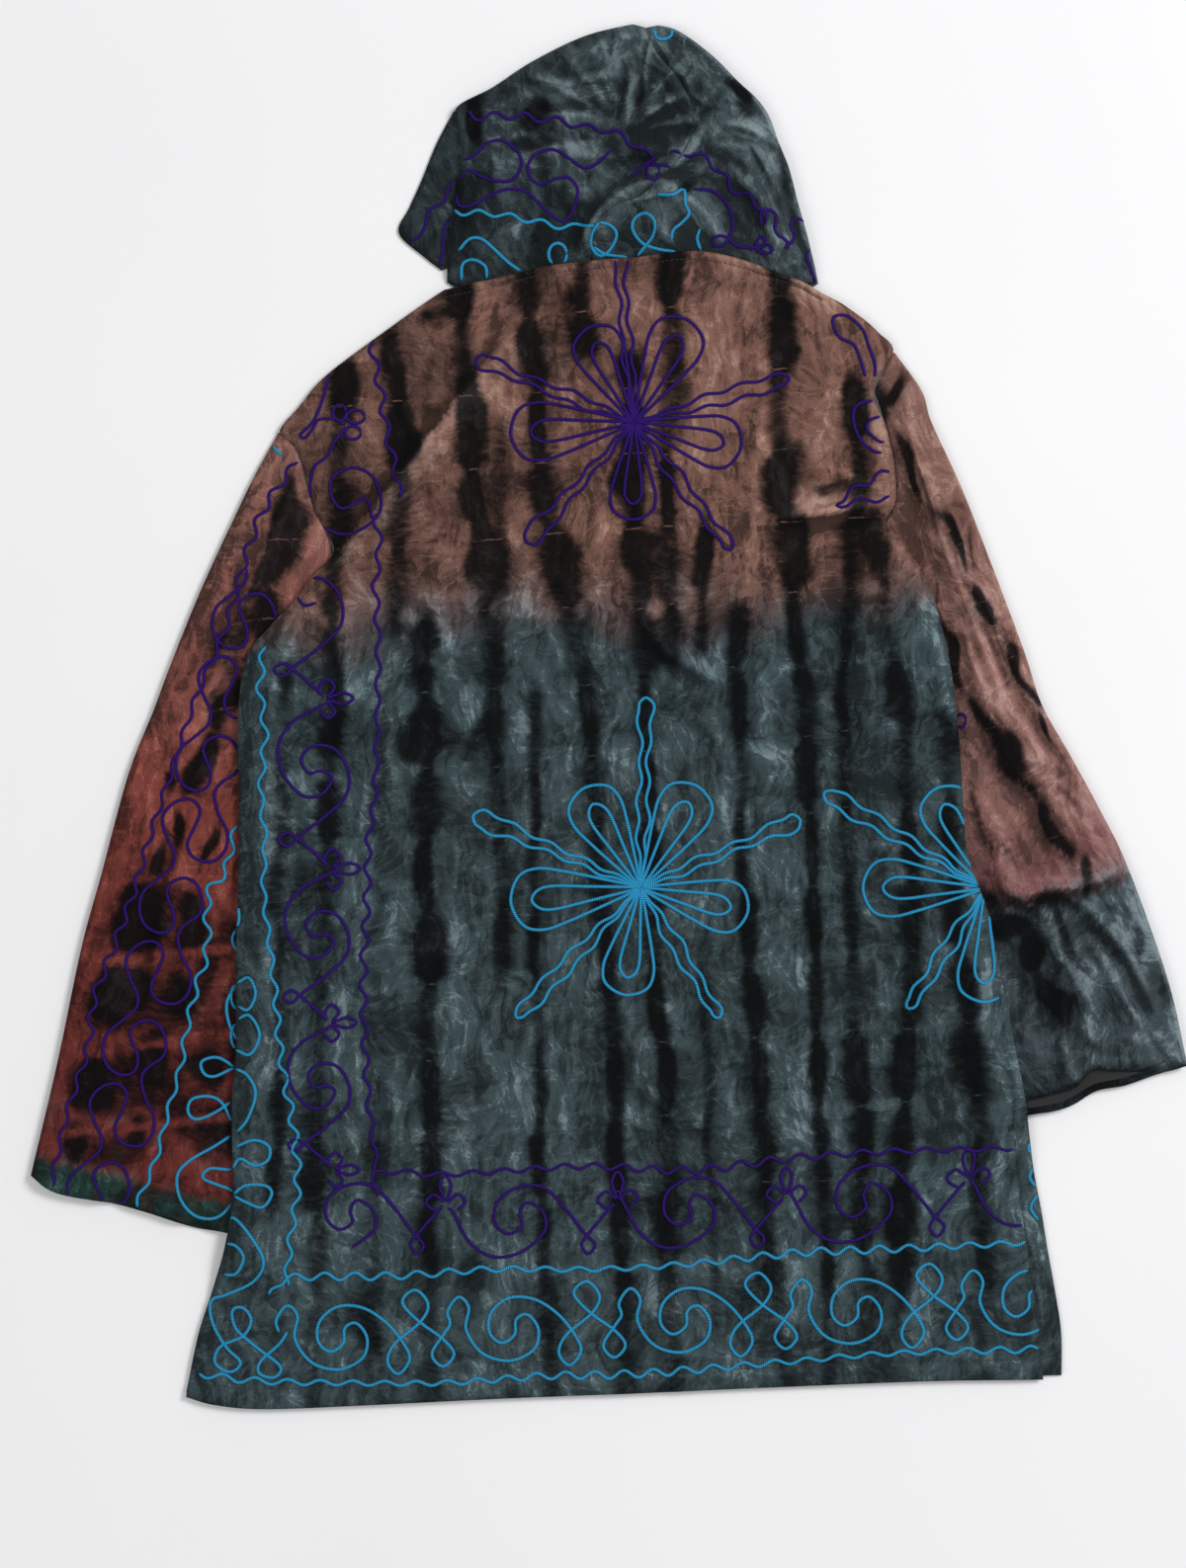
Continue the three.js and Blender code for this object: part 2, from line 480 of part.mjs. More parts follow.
// ---- Hood: two panels joined by a seam over the crown, laid on its face opening. Its outline from the left end
// of the neck seam over the crown to the right end.
const HOOD_EDGE = [[-139, -18], [-138, 6], [-135, 31], [-131, 49], [-128, 67], [-129, 92], [-132, 112],
  [-104, 128], [-75, 147], [-36, 166], [4, 176], [34, 170], [59, 152], [79, 132], [93, 119], [102, 106],
  [109, 87], [117, 67], [124, 40], [130, 19], [136, -5], [139, -19]];
const HOOD_BASE = [[124, -14], [112, -22], [102, -20], [79, -12], [55, -7], [34, -7], [4, -11], [-34, -14],
  [-66, -18], [-102, -27], [-112, -27], [-124, -18]];
const FLAP = [[-132, 112], [-147, 85], [-158, 58], [-167, 38], [-175, 19], [-156, 1], [-143, -9],
  [-118, -8], [-118, 104]];
const SEAM = [
  { y: -90, x: 0 }, { y: -40, x: -20 }, { y: 0, x: -32 }, { y: 20, x: -30 }, { y: 37, x: -13 },
  { y: 46, x: 7 }, { y: 72, x: 35 }, { y: 90, x: 43 }, { y: 101, x: 47 }, { y: 127, x: 37 },
  { y: 157, x: 15 }, { y: 190, x: 2 },
];
const HOOD_CENTRE = new THREE.Vector2(0, 62);
const HOOD_LOFT = 13; // height of the hood away from its folds and edges
const HOOD_ROLL = 30; // it comes down to its edge over this distance
const HOOD_BASE_TOP = 5.2; // height of its base under the back's neck edge
const HOOD_RIM = 4.8; // height of its folded edge
const OPENING_HALF = 40; // half the width of the face opening
const OPENING_TOP = 118;
const HOOD_RINGS = [0, 0.2, 0.4, 0.58, 0.74, 0.87, 0.95, 1];

const wasm = await Module();
wasm.setup();
function solid(geometry) {
  const bare = geometry.clone();
  bare.deleteAttribute("normal");
  bare.deleteAttribute("uv");
  const merged = mergeVertices(bare, 1e-4);
  return new wasm.Manifold(new wasm.Mesh({
    numProp: 3,
    vertProperties: new Float32Array(merged.getAttribute("position").array),
    triVerts: new Uint32Array(merged.getIndex().array),
  }));
}
function geometryOf(made) {
  const mesh = made.getMesh();
  const geometry = new THREE.BufferGeometry();
  geometry.setAttribute("position", new THREE.Float32BufferAttribute(mesh.vertProperties, 3));
  geometry.setIndex(Array.from(mesh.triVerts));
  return geometry;
}
function slab(points, bottom, top) {
  const shape = new THREE.Shape(points.map(([x, y]) => new THREE.Vector2(x, y)));
  const geometry = new THREE.ExtrudeGeometry(shape, { depth: top - bottom, bevelEnabled: false });
  return solid(geometry.translate(0, 0, bottom));
}

function hoodTop(x, y, fromEdge, fromBase) {
  const rise = smooth(Math.min(fromEdge, fromBase) / HOOD_ROLL) ** 0.6;
  const folds = foldHeight(HOOD_FOLDS, x, y) * smooth(Math.min(fromEdge, fromBase + 6) / 26);
  return HOOD_BASE_TOP + (HOOD_LOFT - HOOD_BASE_TOP) * rise + folds;
}

// A dome over the outline, drawn in by `inset` at the edge and `baseInset` at the neck, between two heights.
function hoodDome(inset, baseInset, bottom, lower) {
  const loop = [...HOOD_EDGE, ...HOOD_BASE];
  const position = [];
  const radial = HOOD_RINGS.slice(1);
  const place = (k, ring) => {
    const isBase = k >= HOOD_EDGE.length;
    const rim = new THREE.Vector2(...loop[k]).sub(HOOD_CENTRE);
    const reach = rim.length() - (isBase ? baseInset : inset);
    const p = rim.clone().setLength(reach * ring).add(HOOD_CENTRE);
    const fromEdge = isBase ? 99 : rim.length() - reach * ring;
    const fromBase = p.y - along(HOOD_BASE_ROWS, "x", "y", p.x) - 10;
    const drop = isBase ? 0 : (HOOD_BASE_TOP - HOOD_RIM) * smooth(1 - fromEdge / 4);
    return [p.x, p.y, hoodTop(p.x, p.y, fromEdge, Math.max(0, fromBase)) - drop - lower];
  };
  position.push(...place(0, 0), HOOD_CENTRE.x, HOOD_CENTRE.y, bottom);
  for (const ring of radial) for (let k = 0; k < loop.length; k++) position.push(...place(k, ring));
  const rimStart = 2 + (radial.length - 1) * loop.length;
  const floorStart = position.length / 3;
  for (let k = 0; k < loop.length; k++) {
    position.push(position[(rimStart + k) * 3], position[(rimStart + k) * 3 + 1], bottom);
  }
  const index = [];
  for (let k = 0; k < loop.length; k++) {
    const n = (k + 1) % loop.length;
    index.push(0, 2 + n, 2 + k, 1, floorStart + k, floorStart + n);
    for (let r = 0; r < radial.length - 1; r++) {
      const [a, b] = [2 + r * loop.length, 2 + (r + 1) * loop.length];
      index.push(a + k, a + n, b + n, a + k, b + n, b + k);
    }
    index.push(rimStart + k, rimStart + n, floorStart + n, rimStart + k, floorStart + n, floorStart + k);
  }
  const geometry = new THREE.BufferGeometry();
  geometry.setAttribute("position", new THREE.Float32BufferAttribute(position, 3));
  geometry.setIndex(index);
  return solid(facingOut(geometry));
}
const HOOD_BASE_ROWS = [...HOOD_BASE].reverse().map(([x, y]) => ({ x, y }));

// The fronts' neck edge from the left end to the right end, a little way off it.
function frontNeck(off) {
  const line = (side) => crossLine(LAST, side, FRONT_STEPS, true).map((p) => [p.x, p.y + off]);
  return [...line(-1).reverse(), ...line(1)];
}

function hoodPanels() {
  const shell = hoodDome(0, 0, 0, 0).subtract(hoodDome(CLOTH, -6, CLOTH, CLOTH));
  const lifted = slab([...frontNeck(0.9), [128, -20], [-128, -20]], 0, CLOTH).refineToLength(24);
  const neckPart = lifted.warp((p) => {
    p[2] += (frontMiddle(p[0], p[1]) - CLOTH / 2) * smooth((-34 - p[1]) / 30);
  });
  const flap = slab(FLAP, 0, CLOTH);
  const opening = [];
  for (const side of [1, -1]) {
    const half = [];
    for (let k = 0; k <= 10; k++) {
      const y = mix(-96, OPENING_TOP, k / 10);
      const spread = Math.sin(Math.PI * mix(0.06, 0.995, k / 10)) ** 0.7;
      half.push([along(SEAM, "y", "x", y) + side * Math.max(0.2, OPENING_HALF * spread), y]);
    }
    opening.push(...(side > 0 ? half : half.reverse()));
  }
  const seamCut = [];
  for (const side of [1, -1]) {
    const half = SEAM.map((row) => [row.x + (side * GAP) / 2, row.y]);
    seamCut.push(...(side > 0 ? half : half.reverse()));
  }
  return shell.add(neckPart).add(flap)
    .subtract(slab(opening, -1, CLOTH + 0.2))
    .subtract(slab(seamCut, -1, 60))
    .decompose()
    .map((made) => ({ made, box: made.boundingBox() }))
    .sort((a, b) => b.made.volume() - a.made.volume())
    .slice(0, 2)
    .sort((a, b) => a.box.min[0] - b.box.min[0])
    .map(({ made }) => geometryOf(made));
}
const [hoodLeft, hoodRight] = hoodPanels();
piece("hood_left", hoodLeft, velvet(0x3c494d));
piece("hood_right", hoodRight, velvet(0x44525a));

// ---- Zip: two tapes sewn inside the front edges, the closed chain between them, and a slider at the neck with
// its pull tab hanging towards the hem, under the cloth.
const TAPE_WIDTH = 13;
const TAPE_THICK = 0.7;
const CHAIN_WIDTH = 5.6;
const CHAIN_THICK = 1.8;
const CHAIN_TOP = ZIP_TOP - 6;
const CHAIN_BOTTOM = HEM_CENTRE + 24;
const dark = new THREE.MeshStandardMaterial({ color: 0x1b1b1d, roughness: 0.7 });
const metal = new THREE.MeshStandardMaterial({ color: 0x8a8a88, roughness: 0.35, metalness: 0.9 });

// A strip along the centre line, with a row at each cross line of the fronts, so that it lies as they do.
function zipStrip(from, to, height, thickness) {
  const rows = LADDER.map((v) => mix(HEM_CENTRE, ZIP_TOP, v)).filter((y) => y > CHAIN_BOTTOM + 2 && y < CHAIN_TOP - 2);
  rows.unshift(CHAIN_BOTTOM);
  rows.push(CHAIN_TOP);
  return wall(1, rows.length - 1, (u, v) => {
    const y = rows[Math.round(v * (rows.length - 1))];
    return new THREE.Vector3(mix(from, to, u), y, frontMiddle(CENTRE_GAP, y) - CLOTH / 2 + height);
  }, { thickness });
}
const TAPE_BASE = CLOTH + 2 * GAP; // above the fronts' underside
const TAPE_HEIGHT = TAPE_BASE + TAPE_THICK / 2;
piece("zip_tape_left", zipStrip(-TAPE_WIDTH - 0.2, -0.2, TAPE_HEIGHT, TAPE_THICK), dark);
piece("zip_tape_right", zipStrip(0.2, TAPE_WIDTH + 0.2, TAPE_HEIGHT, TAPE_THICK), dark);
piece("zip_chain", zipStrip(-CHAIN_WIDTH / 2, CHAIN_WIDTH / 2, 0.2 + CHAIN_THICK / 2, CHAIN_THICK), dark);

const SLIDER_WIDE = 8.4;
const SLIDER_LONG = 13;
const PLATE = 1;
const PIN_RADIUS = 0.8;
const EYE_RADIUS = 2;
const EYE_WIDE = 3.4;
const TAB_LONG = 30;
const TAB_WIDE = 7;
const TAB_THICK = 1.6;
const SLIDER_Y = CHAIN_TOP + 1 - SLIDER_LONG / 2 + 5;
const SLIDER_BASE = ZIP_LIFT - PLATE - 0.1; // underside of the slider's outer plate
const PIN = new THREE.Vector3(0, SLIDER_Y - 2, SLIDER_BASE - EYE_RADIUS - 0.3);
function block(wide, long, high, x, y, z) {
  return solid(new THREE.BoxGeometry(wide, long, high).translate(x, y, z));
}
function crossCylinder(radius, wide) {
  return solid(new THREE.CylinderGeometry(radius, radius, wide, 16).rotateZ(Math.PI / 2).translate(...PIN));
}
function slider() {
  const top = ZIP_LIFT + TAPE_BASE + TAPE_THICK + 0.2 + PLATE;
  const cheekHigh = SLIDER_BASE - PIN.z + 0.9;
  const cheekX = EYE_WIDE / 2 + 0.3 + 0.5;
  return block(SLIDER_WIDE, SLIDER_LONG, PLATE, 0, SLIDER_Y, SLIDER_BASE + PLATE / 2)
    .add(block(SLIDER_WIDE, SLIDER_LONG, PLATE, 0, SLIDER_Y, top - PLATE / 2))
    .add(block(2, 4, top - SLIDER_BASE, 0, SLIDER_Y + SLIDER_LONG / 2 - 2, (top + SLIDER_BASE) / 2))
    .add(block(1, 2.4, cheekHigh + 0.1, cheekX, PIN.y, SLIDER_BASE + 0.1 - (cheekHigh + 0.1) / 2))
    .add(block(1, 2.4, cheekHigh + 0.1, -cheekX, PIN.y, SLIDER_BASE + 0.1 - (cheekHigh + 0.1) / 2))
    .add(crossCylinder(PIN_RADIUS, 2 * cheekX));
}
function pullTab() {
  return crossCylinder(EYE_RADIUS, EYE_WIDE)
    .add(block(EYE_WIDE, 8, TAB_THICK, 0, PIN.y - 4, PIN.z))
    .add(block(TAB_WIDE, TAB_LONG - 6, TAB_THICK, 0, PIN.y - 6 - (TAB_LONG - 6) / 2, PIN.z))
    .subtract(crossCylinder(PIN_RADIUS + 0.3, EYE_WIDE + 2));
}
piece("zip_slider", geometryOf(slider()), metal);
piece("zip_pull_tab", geometryOf(pullTab()), metal);

// The origin: the middle of the jacket's box, on the surface it lies on.
const box = new THREE.Box3().setFromObject(jacket);
jacket.position.set(-(box.min.x + box.max.x) / 2, -(box.min.y + box.max.y) / 2, -box.min.z);

export default jacket;
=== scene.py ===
"""A hooded velvet jacket with a zip, tie-dyed and embroidered, lying on its front with its back upwards.

Tables are in millimetres, measured from the centre back of the neck seam: x to the right, y towards the hood.
"""
import math

import bpy
import numpy as np
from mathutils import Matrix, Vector
from mathutils.bvhtree import BVHTree


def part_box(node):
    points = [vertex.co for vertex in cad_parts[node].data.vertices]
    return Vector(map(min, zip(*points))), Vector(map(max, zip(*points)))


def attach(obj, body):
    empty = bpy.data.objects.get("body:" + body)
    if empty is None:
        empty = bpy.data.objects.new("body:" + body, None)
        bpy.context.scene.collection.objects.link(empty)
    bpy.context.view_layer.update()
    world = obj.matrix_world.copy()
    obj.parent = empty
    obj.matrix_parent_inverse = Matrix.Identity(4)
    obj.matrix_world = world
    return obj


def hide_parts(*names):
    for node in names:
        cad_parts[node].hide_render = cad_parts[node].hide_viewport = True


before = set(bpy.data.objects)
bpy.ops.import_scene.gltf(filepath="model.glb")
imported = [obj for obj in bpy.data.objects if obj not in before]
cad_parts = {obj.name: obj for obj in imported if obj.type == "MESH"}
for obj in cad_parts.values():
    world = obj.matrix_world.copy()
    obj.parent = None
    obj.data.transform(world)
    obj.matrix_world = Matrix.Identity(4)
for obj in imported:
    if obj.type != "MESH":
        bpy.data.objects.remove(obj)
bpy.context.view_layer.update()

# ---------------------------------------------------------------- Camera
# A camera on a stand, straight above the jacket, with a long lens. The neck seam is found from the zip's
# slider, which lies on the centre line just below the front neck.
SLIDER_BELOW_NECK = 80
CAMERA_OVER = (-29.6, -393.5)
CAMERA_HEIGHT = 3000
FRAME_LENGTH = 1174.4  # what the long side of the frame takes in
FILM = 36


def metres(points):
    """Points from the tables, [..., (x, y, z)], in metres in the jacket's own frame."""
    return np.asarray(points, float) * 0.001 + np.array([CENTRE_X, NECK_Y, 0])


slider_low, slider_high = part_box("zip_slider")
CENTRE_X = (slider_low.x + slider_high.x) / 2
NECK_Y = slider_high.y + SLIDER_BELOW_NECK * 0.001
camera = bpy.data.objects.new("camera", bpy.data.cameras.new("camera"))
camera.location = metres([*CAMERA_OVER, CAMERA_HEIGHT])
camera.data.sensor_width = FILM
camera.data.lens = FILM * CAMERA_HEIGHT / FRAME_LENGTH
camera.data.clip_end = 20
bpy.context.scene.collection.objects.link(camera)
bpy.context.scene.camera = camera

# ---------------------------------------------------------------- Floor and lights
# A pale board under the jacket, a white room, and one big soft lamp high up to the right with a weaker one
# opposite.
FLOOR_SIZE = 9
FLOOR_GRAIN = 0.3
FLOOR_DROP = 0.0004  # keeps the board just clear of the cloth's underside
SKY = 0.5
LAMPS = [  # name, place in metres, size in metres, watts
    ("key_lamp", (2.7, 1.5, 3.2), 1.5, 132),
    ("fill_lamp", (-2.8, -1.6, 3.4), 2.4, 42),
]


def srgb(red, green, blue):
    """A colour from 0 to 255 as the shader takes it."""
    share = np.array([red, green, blue]) / 255
    linear = np.where(share <= 0.04045, share / 12.92, ((share + 0.055) / 1.055) ** 2.4)
    return (*linear.tolist(), 1.0)


class Wire:
    """One socket of a finish's nodes. Sums with it add Math nodes, and node() adds any other."""

    def __init__(self, socket):
        self.socket = socket

    def node(self, kind, settings=None, sockets=None, out=0):
        made = self.socket.id_data.nodes.new(kind)
        for key, value in (settings or {}).items():
            if key == "stops":
                stops = made.color_ramp.elements
                for at, colour in value[1:-1]:
                    stops.new(at).color = colour
                stops[0].position, stops[0].color = value[0]
                stops[-1].position, stops[-1].color = value[-1]
            else:
                setattr(made, key, value)
        for key, value in (sockets or {}).items():
            if isinstance(value, Wire):
                made.id_data.links.new(value.socket, made.inputs[key])
            else:
                made.inputs[key].default_value = value
        return Wire(made.outputs[out])

    def math(self, operation, a, b=0.0):
        return self.node("ShaderNodeMath", {"operation": operation}, {0: a, 1: b})

    def __add__(self, other):
        return self.math("ADD", self, other)

    def __sub__(self, other):
        return self.math("SUBTRACT", self, other)

    def __rsub__(self, other):
        return self.math("SUBTRACT", other, self)

    def __mul__(self, other):
        return self.math("MULTIPLY", self, other)

    def __abs__(self):
        return self.math("ABSOLUTE", self)

    __radd__ = __add__
    __rmul__ = __mul__

    def rise(self, low, high, end=1.0):
        """From 0 at the value low to end at the value high, easing in and out."""
        return self.node("ShaderNodeMapRange", {"interpolation_type": "SMOOTHSTEP"},
                         {0: self, 1: low, 2: high, 3: 0.0, 4: end})

    def mix(self, without, full):
        """A colour from without, where this is 0, to full, where it is 1."""
        return self.node("ShaderNodeMix", {"data_type": "RGBA"}, {0: self, 6: without, 7: full}, out=2)

    def cloud(self, size, detail=2.0, rough=0.5, out="Fac"):
        """Soft noise over a place, with spots of about size millimetres."""
        return self.node("ShaderNodeTexNoise", {}, {
            "Vector": self, "Scale": 1000 / size, "Detail": detail, "Roughness": rough}, out=out)

    def ramp(self, stops):
        return self.node("ShaderNodeValToRGB", {"stops": stops}, {0: self})

    def vector(self, operation, other):
        return self.node("ShaderNodeVectorMath", {"operation": operation}, {0: self, 1: other})


def finish(name):
    """A new material, and the wire that its shader is joined to."""
    material = bpy.data.materials.new(name)
    material.use_nodes = True
    material.node_tree.nodes.clear()
    end = material.node_tree.nodes.new("ShaderNodeOutputMaterial")
    return material, Wire(end.inputs["Surface"])


def join(end, shader):
    """Joins a shader to the end of its finish."""
    end.socket.id_data.links.new(shader.socket, end.socket)


def place(end):
    """The place on the piece that a finish is worked out for."""
    return end.node("ShaderNodeTexCoord", out="Object")


floor_mesh = bpy.data.meshes.new("floor")
half = FLOOR_SIZE / 2
floor_mesh.from_pydata([(x * half, y * half, -FLOOR_DROP) for x, y in ((-1, -1), (1, -1), (1, 1), (-1, 1))],
                       [], [(0, 1, 2, 3)])
floor = bpy.data.objects.new("floor", floor_mesh)
bpy.context.scene.collection.objects.link(floor)
board, end = finish("pale_board")
grain = place(end).cloud(FLOOR_GRAIN * 1000, 3)
join(end, end.node("ShaderNodeBsdfPrincipled", sockets={
    "Base Color": grain.mix(srgb(231, 231, 233), srgb(236, 236, 237)), "Roughness": 0.9,
    "Specular IOR Level": 0.1}))
floor_mesh.materials.append(board)
for name, spot, size, watts in LAMPS:
    lamp = bpy.data.objects.new(name, bpy.data.lights.new(name, "AREA"))
    lamp.location = spot
    lamp.rotation_euler = (Vector((0, 0, 0)) - lamp.location).to_track_quat("-Z", "Y").to_euler()
    lamp.data.size = size
    lamp.data.energy = watts
    bpy.context.scene.collection.objects.link(lamp)
sky = bpy.data.worlds.new("white_room")
sky.use_nodes = True
sky.node_tree.nodes["Background"].inputs["Color"].default_value = (1, 1, 1, 1)
sky.node_tree.nodes["Background"].inputs["Strength"].default_value = SKY
bpy.context.scene.world = sky
bpy.context.scene.view_settings.view_transform = "Standard"

# ---------------------------------------------------------------- Back
# The back of the jacket: one panel of crushed velvet with its lining, tie-dyed brown above and slate below, with
# black bars drawn in at each row of ties. It is sewn to the fronts at the sides and to the hood at the neck.
OUTLINE = [  # cross lines from the hem up: the left end, then the right end
    (-334, -852, 307, -839), (-325, -808, 305, -806), (-314, -773, 300, -772), (-306, -746, 295, -742),
    (-301, -720, 291, -714), (-298, -690, 287, -684), (-299, -660, 285, -657), (-299, -632, 284, -630),
    (-296, -586, 279, -586), (-296, -530, 272, -533), (-295, -486, 265, -488), (-294, -440, 250, -446),
    (-294, -398, 246, -398), (-295, -360, 243, -352), (-293, -324, 238, -310), (-287, -296, 230, -273),
    (-272, -277, 219, -239), (-252, -256, 205, -218), (-237, -236, 195, -206), (-223, -221, 189, -197),
    (-228, -206, 196, -184), (-237, -190, 197, -168), (-243, -170, 195, -150), (-247, -153, 190, -128),
    (-253, -140, 180, -98), (-264, -130, 195, -70), (-249, -111, 184, -56), (-228, -87, 173, -46),
    (-174, -47, 156, -34), (-141, -24, 141, -26),
]
ARMHOLE_ROWS = slice(19, 26)
HEM_LINE = [(-334, -852), (-312, -858), (-274, -861), (-197, -858), (-95, -853), (7, -849), (121, -844),
            (225, -840), (324, -839)]
NECK_LINE = [(-141, -24), (-102, -16), (-66, -7), (-34, -3), (4, 0), (34, 4), (55, 4), (79, -1), (102, -9),
             (124, -17), (141, -26)]
BACK_COLUMNS, BACK_ROWS = 176, 232
HEM_TURN = 15  # the stitched line above the hem
NECK_TURN = 6
BACK_FOLDS = [  # middle, angle, length, half width, height, and the side that is steep
    (-138, -113, 55, 100, 10, 2.0, 1), (-174, -168, 57, 120, 9, 3.2, 1), (-204, -207, 43, 90, 8, 3.0, 1),
    (-240, -239, 40, 80, 7, 2.6, 1), (-124, -82, 80, 110, 7, 1.4, 0), (-262, -228, 38, 60, 6, 2.0, 1),
    (150, -188, 10, 130, 6, 2.8, 1), (160, -164, -24, 80, 5, 1.6, 1), (158, -214, 24, 80, 5, 1.6, -1),
    (183, -132, 97, 110, 7, 1.8, 0), (172, -206, 24, 80, 6, 2.0, 1), (262, -600, 97, 240, 6, 1.8, 0),
    (-274, -480, 90, 470, 9, 1.6, 0), (-284, -742, -52, 90, 8, 2.0, 0), (-262, -300, 62, 90, 7, 2.0, 1),
    (-60, -380, 60, 190, 12, 1.0, 0), (90, -350, 118, 200, 12, 1.0, 0), (-150, -640, 86, 330, 14, 1.3, 0),
    (120, -660, 84, 340, 14, 1.2, 0), (60, -290, 30, 90, 7, 1.0, 1), (-90, -300, 140, 80, 7, 1.0, 1),
    (160, -420, 70, 120, 8, 1.2, 1), (-200, -560, 100, 130, 8, 1.2, 1), (210, -720, 95, 160, 9, 1.3, 0),
    (-258, -620, 84, 260, 7, 1.6, 1), (240, -320, 80, 200, 8, 1.4, -1), (60, -80, 100, 130, 10, 1.2, 0),
]
BACK_ROLLS = [  # height, half width, and the crest's line, with the steep side on its right
    (5.5, 20, (-92, -60), (-126, -102), (-155, -139), (-181, -172), (-209, -208), (-234, -238)),
    (4.0, 13, (98, -196), (117, -193), (141, -192), (170, -187), (193, -180)),
    (3.2, 14, (-243, -262), (-222, -286), (-214, -330), (-218, -372)),
    (2.6, 12, (-6, -250), (20, -290), (62, -318)),
]
ROLL_STEPS = 48
ROLL_STEEP = 3.4  # half width of a roll's steep side
ROLL_PAINTED_SHADOW, ROLL_PAINTED_HIGHLIGHT = 0.5, 0.16  # how much painted shadow darkens a high roll's foot, and how much painted highlight pales its crest
PAINTED_LIGHT_WAY = (0.62, 0.5, 0.0)  # painted light: slopes facing this way, towards the key lamp, are painted paler, and slopes facing away darker
PAINTED_LIGHT_PER_LIFT = 0.06  # painted light: how much paler each millimetre of lift above the mean paints the cloth, and darker each below
# The limits of that painted shade and painted light.
PAINTED_SHADE_MOST, PAINTED_LIGHT_MOST = -0.17, 0.34
BELOW_ALL, ABOVE_ALL = -50, 80  # levels that lie clear of the whole jacket
MID_LEVEL = 6
THINNEST = 1.2


def spline(points, count):
    """A smooth line through points, as count points at even distances."""
    p = np.asarray(points, float)
    p = np.vstack([2 * p[0] - p[1], p, 2 * p[-1] - p[-2]])
    t = np.linspace(0, 1, 17)[:-1, None]
    runs = []
    for a, b, c, d in zip(p, p[1:], p[2:], p[3:]):
        runs.append(0.5 * (2 * b + (c - a) * t + (2 * a - 5 * b + 4 * c - d) * t**2
                           + (3 * b - a - 3 * c + d) * t**3))
    fine = np.vstack([*runs, p[-2]])
    reach = np.concatenate([[0], np.cumsum(np.linalg.norm(np.diff(fine, axis=0), axis=1))])
    at = np.linspace(0, reach[-1], count)
    return np.stack([np.interp(at, reach, fine[:, k]) for k in range(p.shape[1])], axis=1)


def smooth(t):
    t = np.clip(t, 0, 1)
    return t * t * (3 - 2 * t)


def cloudy(x, y, size, seed):
    """Soft noise from -1 to 1, with spots of about size."""
    table = np.random.default_rng(seed).uniform(-1, 1, (97, 97))
    column, row = np.floor(x / size).astype(int), np.floor(y / size).astype(int)
    across, up = smooth(x / size - column), smooth(y / size - row)
    low = table[row % 97, column % 97] * (1 - across) + table[row % 97, (column + 1) % 97] * across
    high = table[(row + 1) % 97, column % 97] * (1 - across) + table[(row + 1) % 97, (column + 1) % 97] * across
    return low * (1 - up) + high * up


def creased(x, y, size, seed, turn=0.0, stretch=1.0):
    """Sharp soft-sided ridges from 0 to 1, drawn out by stretch along the direction turn, in degrees."""
    c, s = math.cos(math.radians(turn)), math.sin(math.radians(turn))
    x, y = x + 0.5 * size * cloudy(x, y, 1.3 * size, seed + 1), y + 0.5 * size * cloudy(x, y, 1.3 * size, seed + 2)
    ridge = 1 - np.abs(cloudy((x * c + y * s) / stretch, y * c - x * s, size, seed))
    return ridge**4


def scattered(count, seed, left, right, low, high, turn, spread):
    """Small folds of uneven length, width and height, set down at random over a rectangle."""
    draw = np.random.default_rng(seed)
    return [(draw.uniform(left, right), draw.uniform(low, high), draw.normal(turn, spread), draw.uniform(30, 110),
             draw.uniform(4, 9), draw.uniform(0.5, 1.7), draw.choice([-1, 0, 1])) for _ in range(count)]


def fold_height(table, x, y):
    """How high the straight folds of a table raise the cloth."""
    total = np.zeros_like(x)
    for fx, fy, angle, length, width, height, steep in table:
        c, s = math.cos(math.radians(angle)), math.sin(math.radians(angle))
        lengthways, across = (x - fx) * c + (y - fy) * s, (y - fy) * c - (x - fx) * s
        sides = np.where(across * steep > 0, width * 0.35, width)
        ends = np.clip(1 - (2 * lengthways / length) ** 2, 0, None) ** 2
        total += height * ends * np.exp(-((across / sides) ** 2))
    return total


def rolled(table, x, y):
    """Cloth rolled over itself along each line, gentle on the line's left and steep on its right: how high it
    is, and the painted highlight on its crest and painted shadow at its foot."""
    total, shade = np.zeros_like(x), np.zeros_like(x)
    for height, width, *line in table:
        crest = spline(line, ROLL_STEPS)
        way = np.gradient(crest, axis=0)
        way /= np.linalg.norm(way, axis=1, keepdims=True)
        off_x, off_y = x[..., None] - crest[:, 0], y[..., None] - crest[:, 1]
        near = np.argmin(off_x**2 + off_y**2, axis=-1)
        off = np.hypot(*(np.take_along_axis(d, near[..., None], -1)[..., 0] for d in (off_x, off_y)))
        left = np.take_along_axis(way[:, 0] * off_y - way[:, 1] * off_x, near[..., None], -1)[..., 0] > 0
        ends = np.sin(math.pi * np.clip(near / (ROLL_STEPS - 1), 0.0, 1)) ** 0.6
        total += height * ends * np.exp(-((off / np.where(left, width, ROLL_STEEP)) ** 2))
        # Painted shadow along the foot of the steep side, and a painted highlight along the crest.
        foot = ROLL_PAINTED_SHADOW * smooth(off / 4) * np.exp(-((np.clip(off - 5, 0, None) / 6) ** 2))
        shade += min(height / 4, 1) * ends * (ROLL_PAINTED_HIGHLIGHT * np.exp(-((off / 4) ** 2)) - np.where(left, 0, foot))
    return total, shade


